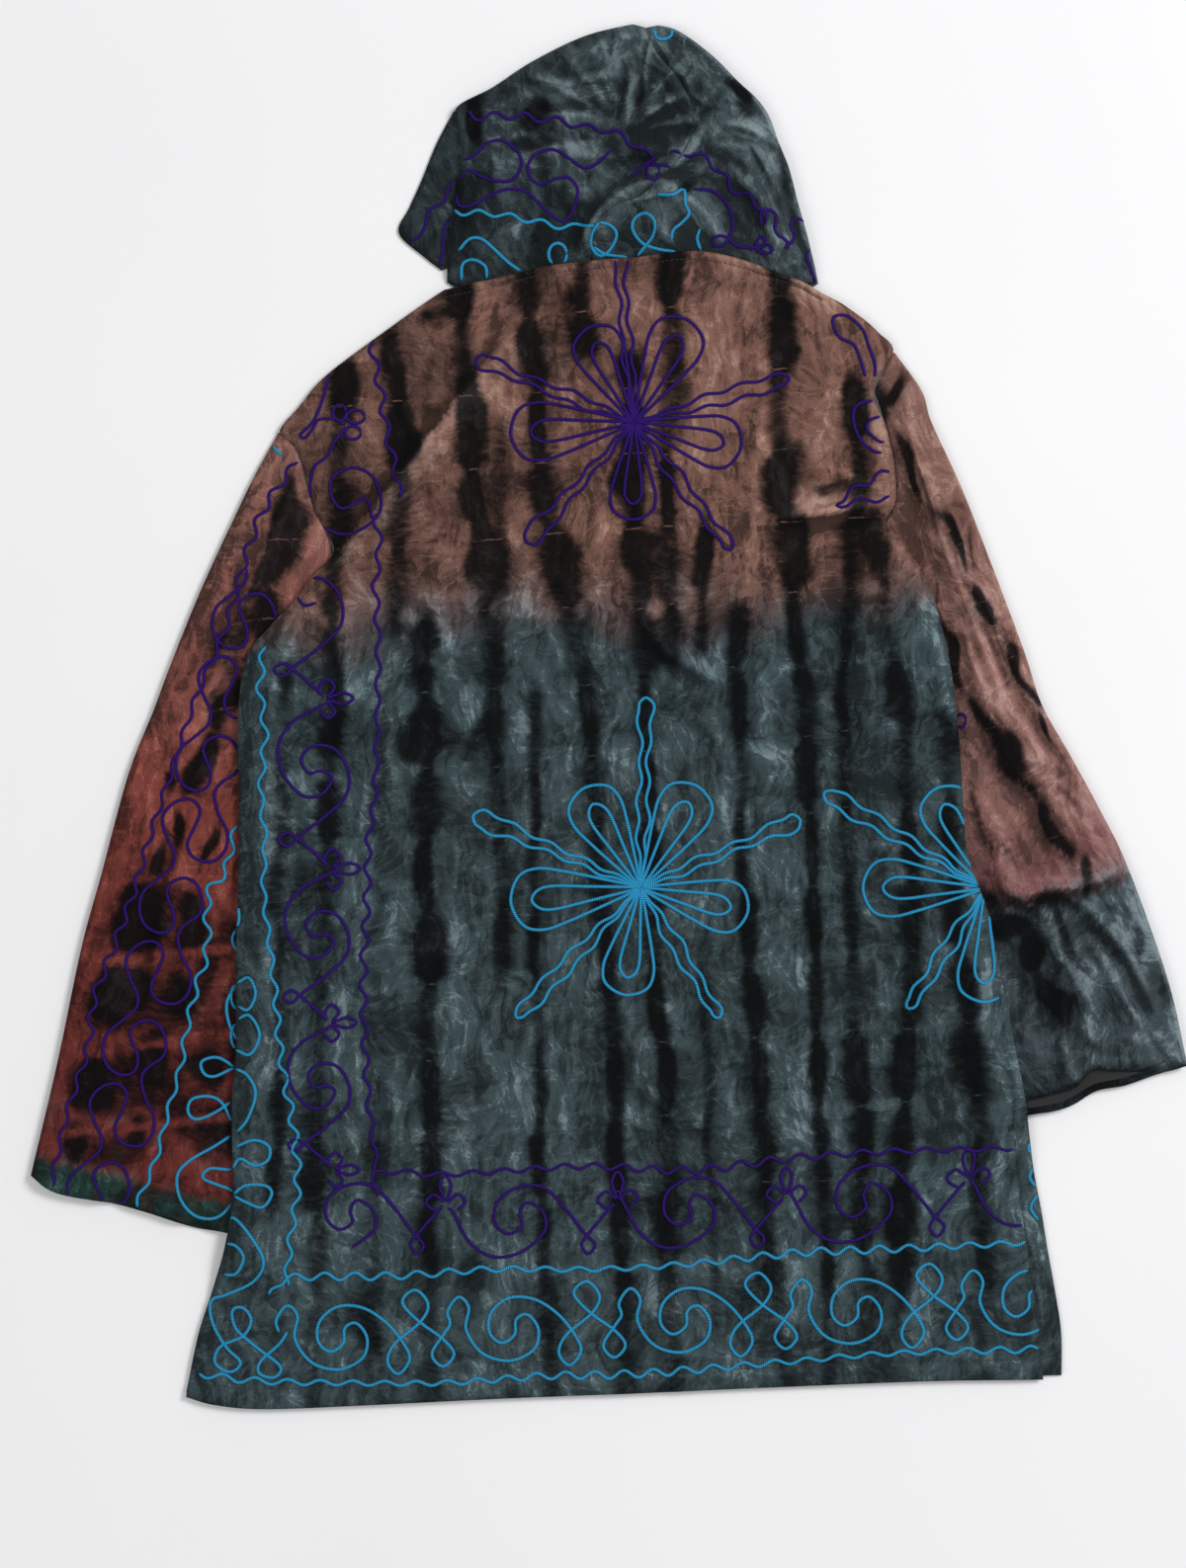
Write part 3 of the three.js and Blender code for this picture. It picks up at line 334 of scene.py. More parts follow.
class Surface:
    """A piece that others lie on, or a solid that a piece of cloth takes its place from."""

    def __init__(self, source):
        mesh = source.data
        points = np.empty(len(mesh.vertices) * 3)
        mesh.vertices.foreach_get("co", points)
        points = (points.reshape(-1, 3) - metres([0, 0, 0])) * 1000
        self.tree = BVHTree.FromPolygons(points.tolist(), [face.vertices[:] for face in mesh.polygons])

    def heights(self, x, y, under=False, misses=None):
        """The height of the top, or the underside, over each place; where it misses, of the nearest point."""
        found = np.empty(x.size)
        start, way = (BELOW_ALL, (0, 0, 1)) if under else (ABOVE_ALL, (0, 0, -1))
        for k, (px, py) in enumerate(zip(x.flat, y.flat)):
            hit = self.tree.ray_cast((px, py, start), way)[0]
            if hit is None:
                near = self.tree.find_nearest((px, py, 0 if under else MID_LEVEL))[0].z
                found[k] = near if misses is None else misses
            else:
                found[k] = hit.z
        return found.reshape(x.shape)


def softened(heights, times):
    """Heights over a grid with the solid's flat facets smoothed away; its borders stay."""
    for _ in range(times):
        inner = heights.copy()
        inner[1:-1] = (heights[:-2] + 2 * heights[1:-1] + heights[2:]) / 4
        heights = inner.copy()
        heights[:, 1:-1] = (inner[:, :-2] + 2 * inner[:, 1:-1] + inner[:, 2:]) / 4
    return heights


def piece(name, points, faces, material):
    """A mesh from points in the tables' frame, set down in its place."""
    mesh = bpy.data.meshes.new(name)
    mesh.from_pydata(metres(points).tolist(), [], faces)
    mesh.materials.append(material)
    made = bpy.data.objects.new(name, mesh)
    bpy.context.scene.collection.objects.link(made)
    return made


def shell(name, outer, inner, marks, material, closed=False, lift=0, shade=0):
    """A closed thin piece of cloth from the grid of its outer face and that of its inner face. Its colour gets painted
    light and shade: paler on slopes facing the key lamp and darker on slopes facing away, paler on crests, by how
    far lift raises them, and by the painted crest highlights and foot shadows in shade."""
    rows, across = outer.shape[:2]
    layer = rows * across
    at = np.arange(layer).reshape(rows, across)
    if closed:
        at = np.hstack([at, at[:, :1]])
    a, b, c, d = at[:-1, :-1].ravel(), at[:-1, 1:].ravel(), at[1:, 1:].ravel(), at[1:, :-1].ravel()
    faces = [np.stack([a, b, c, d], 1), np.stack([a, d, c, b], 1) + layer]
    borders = [(at[0], 1), (at[-1], -1)] + ([] if closed else [(at[:, 0], -1), (at[:, -1], 1)])
    for line, way in borders:
        line = line[::way]
        faces.append(np.stack([line[:-1] + layer, line[1:] + layer, line[1:], line[:-1]], 1))
    normal = np.cross(np.gradient(outer, axis=1), np.gradient(outer, axis=0))
    normal /= np.maximum(np.linalg.norm(normal, axis=2, keepdims=True), 1e-9)
    # Painted light and shade from the slope towards the key lamp and from the lift, carried to the velvet's colour by
    # an attribute.
    lean = normal @ PAINTED_LIGHT_WAY + PAINTED_LIGHT_PER_LIFT * (lift - np.mean(lift))
    marks = {**marks, "lean": np.clip(lean, PAINTED_SHADE_MOST, PAINTED_LIGHT_MOST) + shade}
    made = piece(name, np.vstack([outer.reshape(-1, 3), inner.reshape(-1, 3)]), np.vstack(faces).tolist(), material)
    for key, values in marks.items():
        made.data.attributes.new(key, "FLOAT", "POINT").data.foreach_set("value", np.tile(values.ravel(), 2))
    made.data.polygons.foreach_set("use_smooth", [True] * len(made.data.polygons))
    return made


BAR_ROWS = (0, -176, -324, -472, -620, -850)
BARS = [  # half width, depth, top, bottom, and where a tied bar crosses each of the heights above
    (9.0, 0.95, -50, -285, -184, -170, -185, -190, -192, -198),
    (8.0, 0.5, -285, -860, -184, -170, -185, -190, -192, -198),
    (10.5, 1.0, -262, -870, -152, -152, -155, -155, -150, -151), (9.5, 1.0, 40, -540, -132, -118, -104, -98, -95, -95),
    (7.0, 0.9, -315, -870, -70, -70, -74, -73, -70, -62), (10.0, 1.0, 40, -870, -81, -67, -34, -23, -12.5, -4.5),
    (9.0, 0.95, 40, -78, -39, -38, -37, -37, -37, -37), (9.5, 1.0, -66, -870, -11, 0, 8, 12.5, 24, 31),
    (9.0, 1.0, 40, -312, 30, 25, 31, 32.5, 37, 44), (6.0, 0.85, -190, -300, 52, 52, 52, 52, 52, 52),
    (8.0, 0.95, -254, -870, 80, 80, 77, 83, 95, 111), (10.5, 1.0, 40, -330, 108, 110, 129, 134, 139, 148),
    (6.5, 1.0, -320, -870, 108, 110, 129, 134, 139, 148), (8.0, 0.95, -84, -870, 167, 167, 157, 161, 169, 176),
    (9.0, 0.95, -192, -870, 178, 178, 200, 211, 204, 196), (8.0, 0.85, -335, -870, 229, 229, 233, 240, 255, 266),
    (9.0, 0.85, -78, -870, -219, -219, -224, -229, -235, -238),
    (7.0, 0.8, -300, -720, -259, -259, -260, -265, -263, -277),
    (6.0, 0.55, -120, -330, -105, -100, -96, -96, -96, -96), (5.0, 0.6, -500, -870, 52, 52, 52, 52, 55, 66),
]
WASHES = [  # where cloth has taken black away from the bars: the middle, half width, half height, depth
    (-155, -357, 32, 22, 0.95), (-104, -357, 18, 30, 0.8), (-218, -355, 30, 22, 0.8), (-30, -325, 22, 38, 0.5),
    (-133, -440, 24, 40, 0.4), (-155, -516, 20, 44, 0.5), (-38, -552, 24, 20, 0.4), (0, -600, 44, 22, 0.4),
    (236, -365, 18, 30, 0.7), (254, -605, 22, 30, 0.8), (95, -612, 22, 30, 0.6), (-118, -760, 16, 44, 0.6),
    (-62, -790, 14, 40, 0.6), (-196, -790, 16, 44, 0.6), (-155, -48, 14, 11, 0.6), (-178, -95, 14, 14, 0.5),
    (72, -100, 30, 20, 0.22), (174, -215, 30, 22, 0.5), (10, -215, 26, 34, 0.5), (35, -330, 60, 22, 0.35),
    (150, -350, 50, 22, 0.35), (-70, -225, 26, 34, 0.35), (-228, -140, 16, 22, 0.6),
    (-186, -68, 13, 22, 0.92), (-216, -99, 15, 24, 0.92), (-156, -50, 15, 13, 0.75), (-130, -34, 8, 24, 0.92),
    (-166, -142, 15, 22, 0.96), (-177, -93, 10, 32, 0.85), (-154, -93, 11, 28, 0.5), (-117, -114, 15, 36, 0.98),
    (-118, -179, 16, 30, 0.98), (-68, -170, 16, 30, 0.96), (-77, -62, 12, 42, 0.92), (-37, -37, 15, 26, 0.92),
    (0, -164, 17, 38, 0.92), (3, -222, 15, 34, 0.96), (111, -62, 13, 38, 0.92), (120, -219, 16, 32, 0.96),
    (120, -158, 14, 30, 0.8), (173, -213, 25, 24, 0.88), (163, -111, 12, 28, 0.88), (154, -176, 40, 7, 0.65),
    (34, -93, 11, 42, 0.75), (-56, -219, 17, 32, 0.92), (-111, -226, 14, 28, 0.96), (52, -219, 10, 28, 0.85),
    (90, -770, 22, 50, 0.5),
    (200, -740, 20, 40, 0.45), (-250, -480, 14, 60, 0.6), (-150, -620, 16, 30, 0.6), (20, -700, 60, 16, 0.4),
]
TIE_SPACING, MOST_TIES = 55, 40
BAR_PINCH = 0.36  # how wide a bar is at a row of ties, as a share of its width between them
BAR_BLUR, HALO_BLUR = 5, 9
HALO_DEPTH = 0.42
SLATE_FROM, SLATE_RUN = -220, 84


def ties(x, y):
    """How many rows of ties below the neck a place is; a whole number is on a row."""
    return (-y + 0.07 * x + 125.5 + 4 * cloudy(x, y, 90, 5) + 2 * cloudy(x, y, 30, 6)) / TIE_SPACING


def bar_dye(x, y):
    """How black the tied bars have dyed the cloth: full between two rows of ties, pinched at each."""
    row = ties(x, y)
    step = np.clip(np.floor(row).astype(int), 0, MOST_TIES - 1)
    part = row - np.floor(row)
    clear = np.ones_like(x)
    for k, (width, depth, top, bottom, *middles) in enumerate(BARS):
        draw = np.random.default_rng(300 + k)
        wide, deep, shift = (draw.uniform(*span, MOST_TIES) for span in ((0.5, 1.3), (0.6, 1.0), (-2.5, 2.5)))
        swell = smooth(np.minimum(part, 1 - part) * draw.uniform(3.2, 7, MOST_TIES)[step])
        middle = np.interp(-y, [-level for level in BAR_ROWS], middles) + shift[step] * swell + 2 * cloudy(x, y, 30, 21)
        reach = width * (BAR_PINCH + swell * (wide[step] - BAR_PINCH)) * (1 + 0.3 * cloudy(x, y, 16, 60 + k))
        off = np.abs(x - middle)
        core = 1 - smooth((off - 0.2 * reach) / (1.25 * reach + BAR_BLUR))
        spread = np.exp(-((off / (1.6 * reach + HALO_BLUR)) ** 2))
        halo = HALO_DEPTH * spread * smooth(0.75 + cloudy(x, y, 26, 90 + k))
        run = smooth((top + 12 - y) / 26) * smooth((y - bottom + 12) / 26)
        clear = clear * (1 - np.maximum(core * (0.82 + (deep[step] - 0.82) * swell), halo) * run * depth)
    return 1 - clear


def patches(table, x, y, grow=1.0):
    """The depth of dye in soft uneven spots: middle, half width, half height, depth and, if any, the turn."""
    bent_x, bent_y = x + 8 * cloudy(x, y, 24, 86), y + 8 * cloudy(x, y, 24, 87)
    dye = np.zeros_like(x)
    for spot_x, spot_y, width, height, depth, *turn in table:
        c, s = (math.cos(math.radians(turn[0])), math.sin(math.radians(turn[0]))) if turn else (1, 0)
        across, along = (bent_x - spot_x) * c + (bent_y - spot_y) * s, (bent_y - spot_y) * c - (bent_x - spot_x) * s
        dye = np.maximum(dye, depth * (1 - smooth((np.hypot(across / width, along / height) / grow - 0.35) / 0.95)))
    return dye


def back_marks(x, y):
    """What the velvet's finish reads at each place on the body: black dye, tone and rows of ties."""
    blots = smooth((cloudy(x, y, 62, 31) + 0.6 * cloudy(x, y, 24, 32) - 0.2) / 0.9)
    low = smooth((-y - 250) / 60) * (1 - 0.65 * smooth((-y - 700) / 60))
    high = smooth((60 - x) / 120) * smooth((y + 290) / 60)
    haze = np.maximum(0.3 * blots * (0.25 + 0.75 * low) + 0.3 * high * smooth(0.3 + cloudy(x, y, 40, 35)),
                      patches(WASHES, x, y) * (0.75 + 0.4 * cloudy(x, y, 14, 34)))
    edge = SLATE_FROM + 14 * cloudy(x, y, 46, 41) + 6 * cloudy(x, 0.25 * y, 9, 42) + 0.05 * x
    return {
        "dye": 1 - (1 - bar_dye(x, y) * (1 - 0.3 * smooth((-y - 745) / 40))) * (1 - np.clip(haze, 0, 1)),
        "tone": np.clip((edge - y) / SLATE_RUN, 0, 1),
        "ties": ties(x, y),
    }


# How far each of these moves the pile between its darkest and its palest. The last is the painted light and
# shade from the cloth's slopes, crests and roll feet.
LARGE_SPOTS, SMALL_SPOTS, BROAD, BRUSHED, CREASED, GRAIN, PAINTED_LIGHT_SHARE = 0.18, 0.22, 0.32, 0.26, 0.15, 0.6, 0.95
CREASE_STRETCH = 4.5
BLACK_FROM, BLACK_FULL, BLACK_MOST = 0.1, 0.84, 0.97
BLACK_DEEP, BLACK_LIT = srgb(8, 9, 10), srgb(24, 26, 29)


def velvet(name, palette, long=6.2, turn=0, tie_marks=0.0, depth=0.5, facet=19):
    """Crushed velvet: a palette from tone 0 to tone 1, black dye over it, light where the pile lies down, and
    painted light and shade from the cloth's slopes, crests and roll feet. Its streaks are long times as long as
    wide, turned by turn degrees from the y direction."""
    material, end = finish(name)
    here = place(end)
    bent = here.vector("ADD", here.cloud(70, 2, out="Color").vector("MULTIPLY", (0.05, 0.05, 0)))
    turned = {"Rotation": (0, 0, math.radians(turn)), "Scale": (1, long, 1)}
    brushed = bent.node("ShaderNodeMapping", {"vector_type": "TEXTURE"}, {"Vector": bent, **turned}).cloud(5.5, 3, 0.6)
    drawn = bent.vector("ADD", bent.cloud(14, 2, out="Color").vector("MULTIPLY", (0.005, 0.006, 0)))
    drawn = drawn.node("ShaderNodeMapping", {"vector_type": "TEXTURE"}, {"Vector": drawn, **turned, "Scale": (1, 1, 1)})
    leaning = []
    for size, tall in ((facet, 0.5), (facet * 0.4, 0.6)):
        spot = drawn.vector("MULTIPLY", (1, tall, 1))
        pick = {"Vector": spot, "Scale": 1000 / size}
        middle = spot.node("ShaderNodeTexVoronoi", {}, pick, out="Position")
        lean = spot.node("ShaderNodeTexVoronoi", {}, pick, out="Color").vector("SUBTRACT", (0.5, 0.5, 0.5))
        away = spot.vector("SUBTRACT", middle)
        across = away.node("ShaderNodeVectorMath", {"operation": "DOT_PRODUCT"}, {0: away, 1: lean}, out="Value")
        leaning.append((across * (2600 / size)).rise(-0.9, 0.9))
    large, small = leaning
    broad = bent.cloud(46, 3, 0.55)
    grain = here.cloud(1.3, 3, 0.75)
    crease = 0
    for way, most in ((38, broad), (-62, 1 - broad), (96, brushed)):
        tilted = {"Rotation": (0, 0, math.radians(turn + way)), "Scale": (1, CREASE_STRETCH, 1)}
        line = drawn.node("ShaderNodeMapping", {"vector_type": "TEXTURE"}, {"Vector": drawn, **tilted}).cloud(9, 1, 0.4)
        crease = crease + (1 - abs(line - 0.5).rise(0.0, 0.045)) * most.rise(0.42, 0.6)
    # The painted light and shade worked out from the cloth's shape, read from an attribute.
    lean = end.node("ShaderNodeAttribute", {"attribute_name": "lean"}, out="Fac")
    # The pile's own pattern, with the painted light and shade added in.
    lying = (large * LARGE_SPOTS + small * SMALL_SPOTS + broad.rise(0.3, 0.7) * BROAD
             + brushed.rise(0.25, 0.75) * BRUSHED + crease * CREASED + (grain - 0.5) * GRAIN + lean * PAINTED_LIGHT_SHARE)
    tone = end.node("ShaderNodeAttribute", {"attribute_name": "tone"}, out="Fac")
    shifted = tone + (brushed - 0.5) * 0.3 + (broad - 0.5) * 0.3
    deep, plain, shine = (shifted.ramp([(at, shades[k]) for at, *shades in palette]) for k in range(3))
    colour = lying.rise(0.16, 0.64).mix(deep, plain)
    colour = lying.rise(0.58, 1.05).mix(colour, shine)
    dye = end.node("ShaderNodeAttribute", {"attribute_name": "dye"}, out="Fac")
    comb = drawn.vector("MULTIPLY", (0.5, 1.3, 1)).cloud(5, 3, 0.65)
    black = dye + (brushed - 0.5) * 0.36 + (comb - 0.5) * 0.56 + (broad - 0.5) * 0.3
    black = black.rise(BLACK_FROM, BLACK_FULL, BLACK_MOST)
    # Black too is paler where the pile lies and where light is painted on.
    colour = black.mix(colour, lying.rise(0.5, 1.1).mix(BLACK_DEEP, BLACK_LIT))
    if tie_marks:
        row = end.node("ShaderNodeAttribute", {"attribute_name": "ties"}, out="Fac") + (comb - 0.5) * 0.07
        off = abs(row.math("FRACT", row + 0.5) - 0.5)
        nick = (1 - off.rise(0.004, 0.015)) * dye.rise(0.6, 0.85) * comb.rise(0.42, 0.56)
        colour = (nick * tie_marks).mix(colour, plain)
    bump = end.node("ShaderNodeBump", {}, {"Strength": depth, "Distance": 0.002, "Height": (
        large * 0.3 + small * 0.22 + crease * 0.25 + broad * 0.9 + brushed * 0.5)})
    join(end, end.node("ShaderNodeBsdfPrincipled", {}, {
        "Base Color": colour, "Roughness": 0.9, "Sheen Weight": 0.08, "Sheen Roughness": 0.4,
        "Sheen Tint": srgb(190, 200, 205), "Specular IOR Level": 0.05, "Normal": bump}))
    return material


def shades(plain, shine, share=0.52):
    """A velvet colour with the darker one of its standing pile and the paler one of its flattened pile; these serve
    as its painted shade and painted light as well.
    """
    return srgb(*[level * share for level in plain]), srgb(*plain), srgb(*shine)


BODY_PALETTE = [
    (0.0, *shades((120, 87, 77), (162, 130, 117))), (0.3, *shades((110, 82, 75), (152, 124, 115))),
    (0.55, *shades((84, 74, 74), (130, 120, 120))), (0.8, *shades((61, 73, 77), (112, 128, 133))),
    (1.0, *shades((60, 74, 78), (114, 132, 137))),
]
body_velvet = velvet("body_velvet", BODY_PALETTE, tie_marks=0.6)


def panel(rows, columns, left_to_right, hem=None, neck=None):
    """A grid in plan between the two ends of each cross line, drawn to the hem line and the neck line."""
    lines = spline(left_to_right, rows + 1)
    u = np.linspace(0, 1, columns + 1)[None, :, None]
    v = np.linspace(0, 1, rows + 1)[:, None, None]
    grid = lines[:, None, :2] * (1 - u) + lines[:, None, 2:] * u
    for border, line, weight in ((hem, grid[0], (1 - v) ** 6), (neck, grid[-1], v**6)):
        if border is not None:
            grid = grid + weight * (spline(border, columns + 1) - line)[None]
    return grid


plan = panel(BACK_ROWS, BACK_COLUMNS, OUTLINE, [*HEM_LINE[:-1], OUTLINE[0][2:]], NECK_LINE)
x, y = plan[..., 0], plan[..., 1]
solid = Surface(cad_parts["back_panel"])
top = softened(solid.heights(x, y), 4)
under = softened(solid.heights(x, y, under=True), 2)
from_side = np.minimum(x - x[:, :1], x[:, -1:] - x)
from_hem = y - np.interp(x, *zip(*HEM_LINE))
from_neck = np.interp(x, *zip(*NECK_LINE)) - y
settled = smooth(np.minimum(from_side, from_hem) / 12)
wrinkles = (1.3 * creased(x, y, 46, 101, 80, 2.2) + 0.9 * creased(x, y, 27, 111, 60, 1.6)
            + 0.6 * creased(x, y, 17, 121, 115, 1.5) + 0.5 * cloudy(x, y, 36, 131))
small_folds = scattered(60, 141, -280, 270, -840, -30, 84, 24) + scattered(26, 142, 90, 270, -420, -40, 10, 30)
turned = -0.55 * np.exp(-(((from_hem - HEM_TURN) / 1.9) ** 2)) - 0.5 * np.exp(-(((from_neck - NECK_TURN) / 1.7) ** 2))
turned += 0.35 * smooth((HEM_TURN - from_hem) / 3) + 0.4 * smooth((NECK_TURN - from_neck) / 2)
roll, shade = rolled(BACK_ROLLS, x, y)
lift = settled * (wrinkles + fold_height(BACK_FOLDS + small_folds, x, y) + roll)
outer = np.maximum(top + lift + turned, under + THINNEST)
back = shell("back_cloth", np.dstack([x, y, outer]), np.dstack([x, y, under]), back_marks(x, y), body_velvet,
             lift=lift, shade=shade)
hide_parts("back_panel")
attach(back, "jacket")

# ---------------------------------------------------------------- Fronts
# The two fronts of the same velvet, under the back, with the zip between them. The right one shows past the back
# along its side seam, and both ride over the sleeves where the jacket lies on them.
CENTRE_HEM, CENTRE_NECK = -849, -80
CENTRE_GAP = 3.4
FRONT_HEM_RISE = 3
NECK_SCOOP = 24
FRONT_COLUMNS, FRONT_ROWS = 64, 150
SIDE_SHOW = [(-839, 14), (-801, 16), (-716, 15), (-662, 12), (-617, 8.5), (-563, 4), (-486, 0)]

ends = np.array(OUTLINE, float)
climb = np.linalg.norm(np.diff(ends[:, :2], axis=0), axis=1) + np.linalg.norm(np.diff(ends[:, 2:], axis=0), axis=1)
share = np.concatenate([[0], np.cumsum(climb)]) / climb.sum()
centre_y = CENTRE_HEM + (CENTRE_NECK - CENTRE_HEM) * share
neck_u = np.linspace(0, 1, 14)
hem_points = np.array(HEM_LINE, float)


def front(side, name, node):
    """One front, from its side seam to the folded edge beside the zip."""
    edge = ends[:, :2] if side < 0 else ends[:, 2:]
    if side > 0:
        edge = edge + np.stack([np.interp(edge[:, 1], *zip(*SIDE_SHOW)), 0 * edge[:, 1]], 1)
    middle = np.stack([np.full(len(edge), side * CENTRE_GAP), centre_y], 1)
    lines = np.hstack([edge, middle] if side < 0 else [middle, edge])
    corner = edge[-1]
    neck = np.stack([side * CENTRE_GAP + (corner[0] - side * CENTRE_GAP) * neck_u,
                     CENTRE_NECK + (corner[1] - CENTRE_NECK) * neck_u - NECK_SCOOP * np.sin(math.pi * neck_u)], 1)
    hem = np.vstack([[side * CENTRE_GAP, CENTRE_HEM], hem_points[np.abs(hem_points[:, 0]) > 20]])
    hem = hem[hem[:, 0] * side > 0]
    hem = hem[np.argsort(hem[:, 0])] + [0, FRONT_HEM_RISE]
    if side > 0:
        hem[-1] = [edge[0, 0], HEM_LINE[-1][1] + FRONT_HEM_RISE]
    grid = panel(FRONT_ROWS, FRONT_COLUMNS, lines, hem, neck if side > 0 else neck[::-1])
    x, y = grid[..., 0], grid[..., 1]
    solid = Surface(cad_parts[node])
    outer, inner = solid.heights(x, y), solid.heights(x, y, under=True)
    cloth = shell(name, np.dstack([x, y, softened(outer, 2)]), np.dstack([x, y, softened(inner, 2)]),
                  back_marks(x, y), body_velvet)
    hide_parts(node)
    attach(cloth, "jacket")
    return cloth


front_left = front(-1, "front_left_cloth", "front_left")
front_right = front(1, "front_right_cloth", "front_right")

# ---------------------------------------------------------------- Sleeves
# Each sleeve is one lined tube of velvet, sewn to the armhole and pressed flat, with its lower half under the
# body. The left one is dyed red with black along its middle and green at the cuff, the right one brown and slate.
LEFT_RINGS = [  # from the armhole to the cuff: the outer fold, then the underarm seam
    (-264.8, -130.8, -190, -315), (-282, -162, -194, -340), (-299, -197, -199, -370), (-323, -249, -206, -408),
    (-345, -303, -213, -448), (-358, -338, -218, -476), (-377, -386, -224, -512), (-397, -460, -232, -560),
    (-412, -515, -239, -602), (-430, -601, -249, -665), (-450, -686, -262, -738),
]
RIGHT_RINGS = [
    (195.8, -70.6, 165, -262), (216, -99, 170, -290), (224, -124, 173, -308), (246, -172, 179, -344),
    (266, -223, 184, -380), (292, -292, 192, -430), (306, -334, 197, -458), (325, -368, 203, -490),
    (348, -410, 210, -522), (370, -455, 217, -554), (400, -539, 231, -604), (415, -604, 243, -642),
]
LEFT_CUFF = [(-450, -686), (-431, -699), (-395, -706), (-368, -711), (-346, -718), (-325, -725), (-307, -728),
             (-262, -738)]
LEFT_CUFF_UNDER = [(-450, -686), (-431, -699), (-395, -706), (-368, -713), (-340, -722), (-325, -726),
                   (-307, -729), (-262, -738)]
RIGHT_CUFF = [(415, -604), (391, -610), (360, -607), (344, -607), (330, -621), (316, -626), (296, -630),
              (243, -642)]
RIGHT_CUFF_UNDER = [(415, -604), (391, -611), (368, -619), (347, -623), (330, -633), (316, -638), (296, -641),
                    (243, -648)]
SLEEVE_COLUMNS, SLEEVE_ROWS = 88, 150
SLEEVE_WALL = 1.7
SLEEVE_ROUND = 7
CUFF_TURN = 14
LEFT_FOLDS = [
    (-262, -190, 66, 120, 6, 1.8, 1), (-318, -300, 66, 190, 8, 1.3, 0), (-352, -420, 72, 170, 8, 1.2, 1),
    (-395, -560, 78, 200, 9, 1.3, 0), (-338, -620, 80, 170, 8, 1.3, 1), (-405, -684, -12, 90, 5, 1.4, 0),
    (-290, -250, 60, 150, 6, 1.2, 1), (-380, -500, 76, 130, 6, 1.0, 1), (-300, -420, 84, 160, 7, 1.0, 0),
    (-360, -650, 60, 90, 5, 0.9, 1), *scattered(30, 144, -440, -260, -720, -170, 72, 22),
]
RIGHT_FOLDS = [
    (218, -170, 108, 180, 6, 2.2, 1), (250, -260, 112, 190, 6, 2.4, -1), (232, -300, 105, 170, 5, 2.0, 1),
    (300, -385, 122, 170, 6, 2.3, 0), (268, -440, 118, 180, 6, 2.4, 1), (330, -470, 120, 130, 5, 2.0, 0),
    (306, -474, 12, 110, 8, 4.2, -1), (352, -462, 26, 60, 7, 2.4, -1), (360, -545, 120, 120, 6, 2.0, 1),
    (322, -580, 95, 100, 6, 2.0, -1),
    (276, -330, 110, 120, 5, 1.8, -1), (242, -380, 108, 150, 5, 1.8, 1), (262, -210, 112, 110, 5, 1.6, 1),
    (340, -430, 128, 90, 5, 1.6, -1), (300, -540, 70, 90, 6, 1.8, 1), (380, -500, 116, 90, 5, 1.6, 0),
    (346, -590, 60, 60, 5, 1.6, 1), *scattered(34, 145, 200, 410, -620, -110, 116, 24),
]
LEFT_TONES = [150, 280, 420, 620], [0, 0.25, 0.5, 0.72]  # how far down the sleeve each tone comes
RIGHT_TONES = [150, 300, 400, 468, 490, 506], [0, 0.3, 0.5, 0.72, 1, 1.3]
LEFT_DYE = [  # middle, half width, half length, depth, turn
    (-350, -498, 32, 34, 0.66, -10), (-358, -556, 42, 26, 0.68, -6), (-368, -616, 46, 24, 0.68, -6),
    (-388, -668, 36, 17, 0.6, 0), (-322, -590, 20, 58, 0.5, -6), (-306, -650, 28, 24, 0.62, 0),
    (-261, -220, 14.9, 37, 0.97, -14), (-259, -191, 10.3, 31, 0.9, -8), (-270, -268, 13.8, 24, 0.9, 0),
    (-307, -340, 6.2, 34, 0.9, -22), (-324, -380, 8.8, 22, 0.95, -15), (-343, -391, 6.2, 11, 0.8, 0),
    (-340, -431, 5, 18, 0.9, -15), (-354, -454, 5, 15, 0.9, -10), (-316, -437, 5, 20, 0.9, -15),
    (-366, -492, 18.9, 34, 0.97, -10), (-333, -504, 12.2, 29, 0.95, -12), (-386, -550, 17.6, 24, 0.97, -10),
    (-364, -548, 12.2, 20, 0.95, 0), (-341, -553, 12.2, 20, 0.92, 0), (-320, -535, 9.5, 31, 0.75, -8),
    (-400, -616, 17.6, 24, 0.95, -8), (-378, -609, 10.8, 20, 0.75, 0), (-358, -600, 14.9, 24, 0.95, -5),
    (-320, -605, 12.2, 18, 0.85, 0), (-411, -661, 14.9, 17, 0.9, 0), (-370, -657, 13.5, 19, 0.85, 0),
    (-311, -650, 32.4, 16, 0.8, 0), (-340, -642, 12.2, 17, 0.75, 0), (-307, -512, 9.5, 26, 0.7, -6),
    (-300, -576, 10.8, 34, 0.7, -4), (-424, -680, 29.7, 8, 0.6, 14), (-345, -705, 54, 7, 0.5, 8),
    (-276, -330, 10, 40, 0.7, -6), (-268, -228, 9, 46, 0.8, -25), (-291, -272, 9, 36, 0.78, -30),
    (-304, -312, 8, 34, 0.66, -20),
]
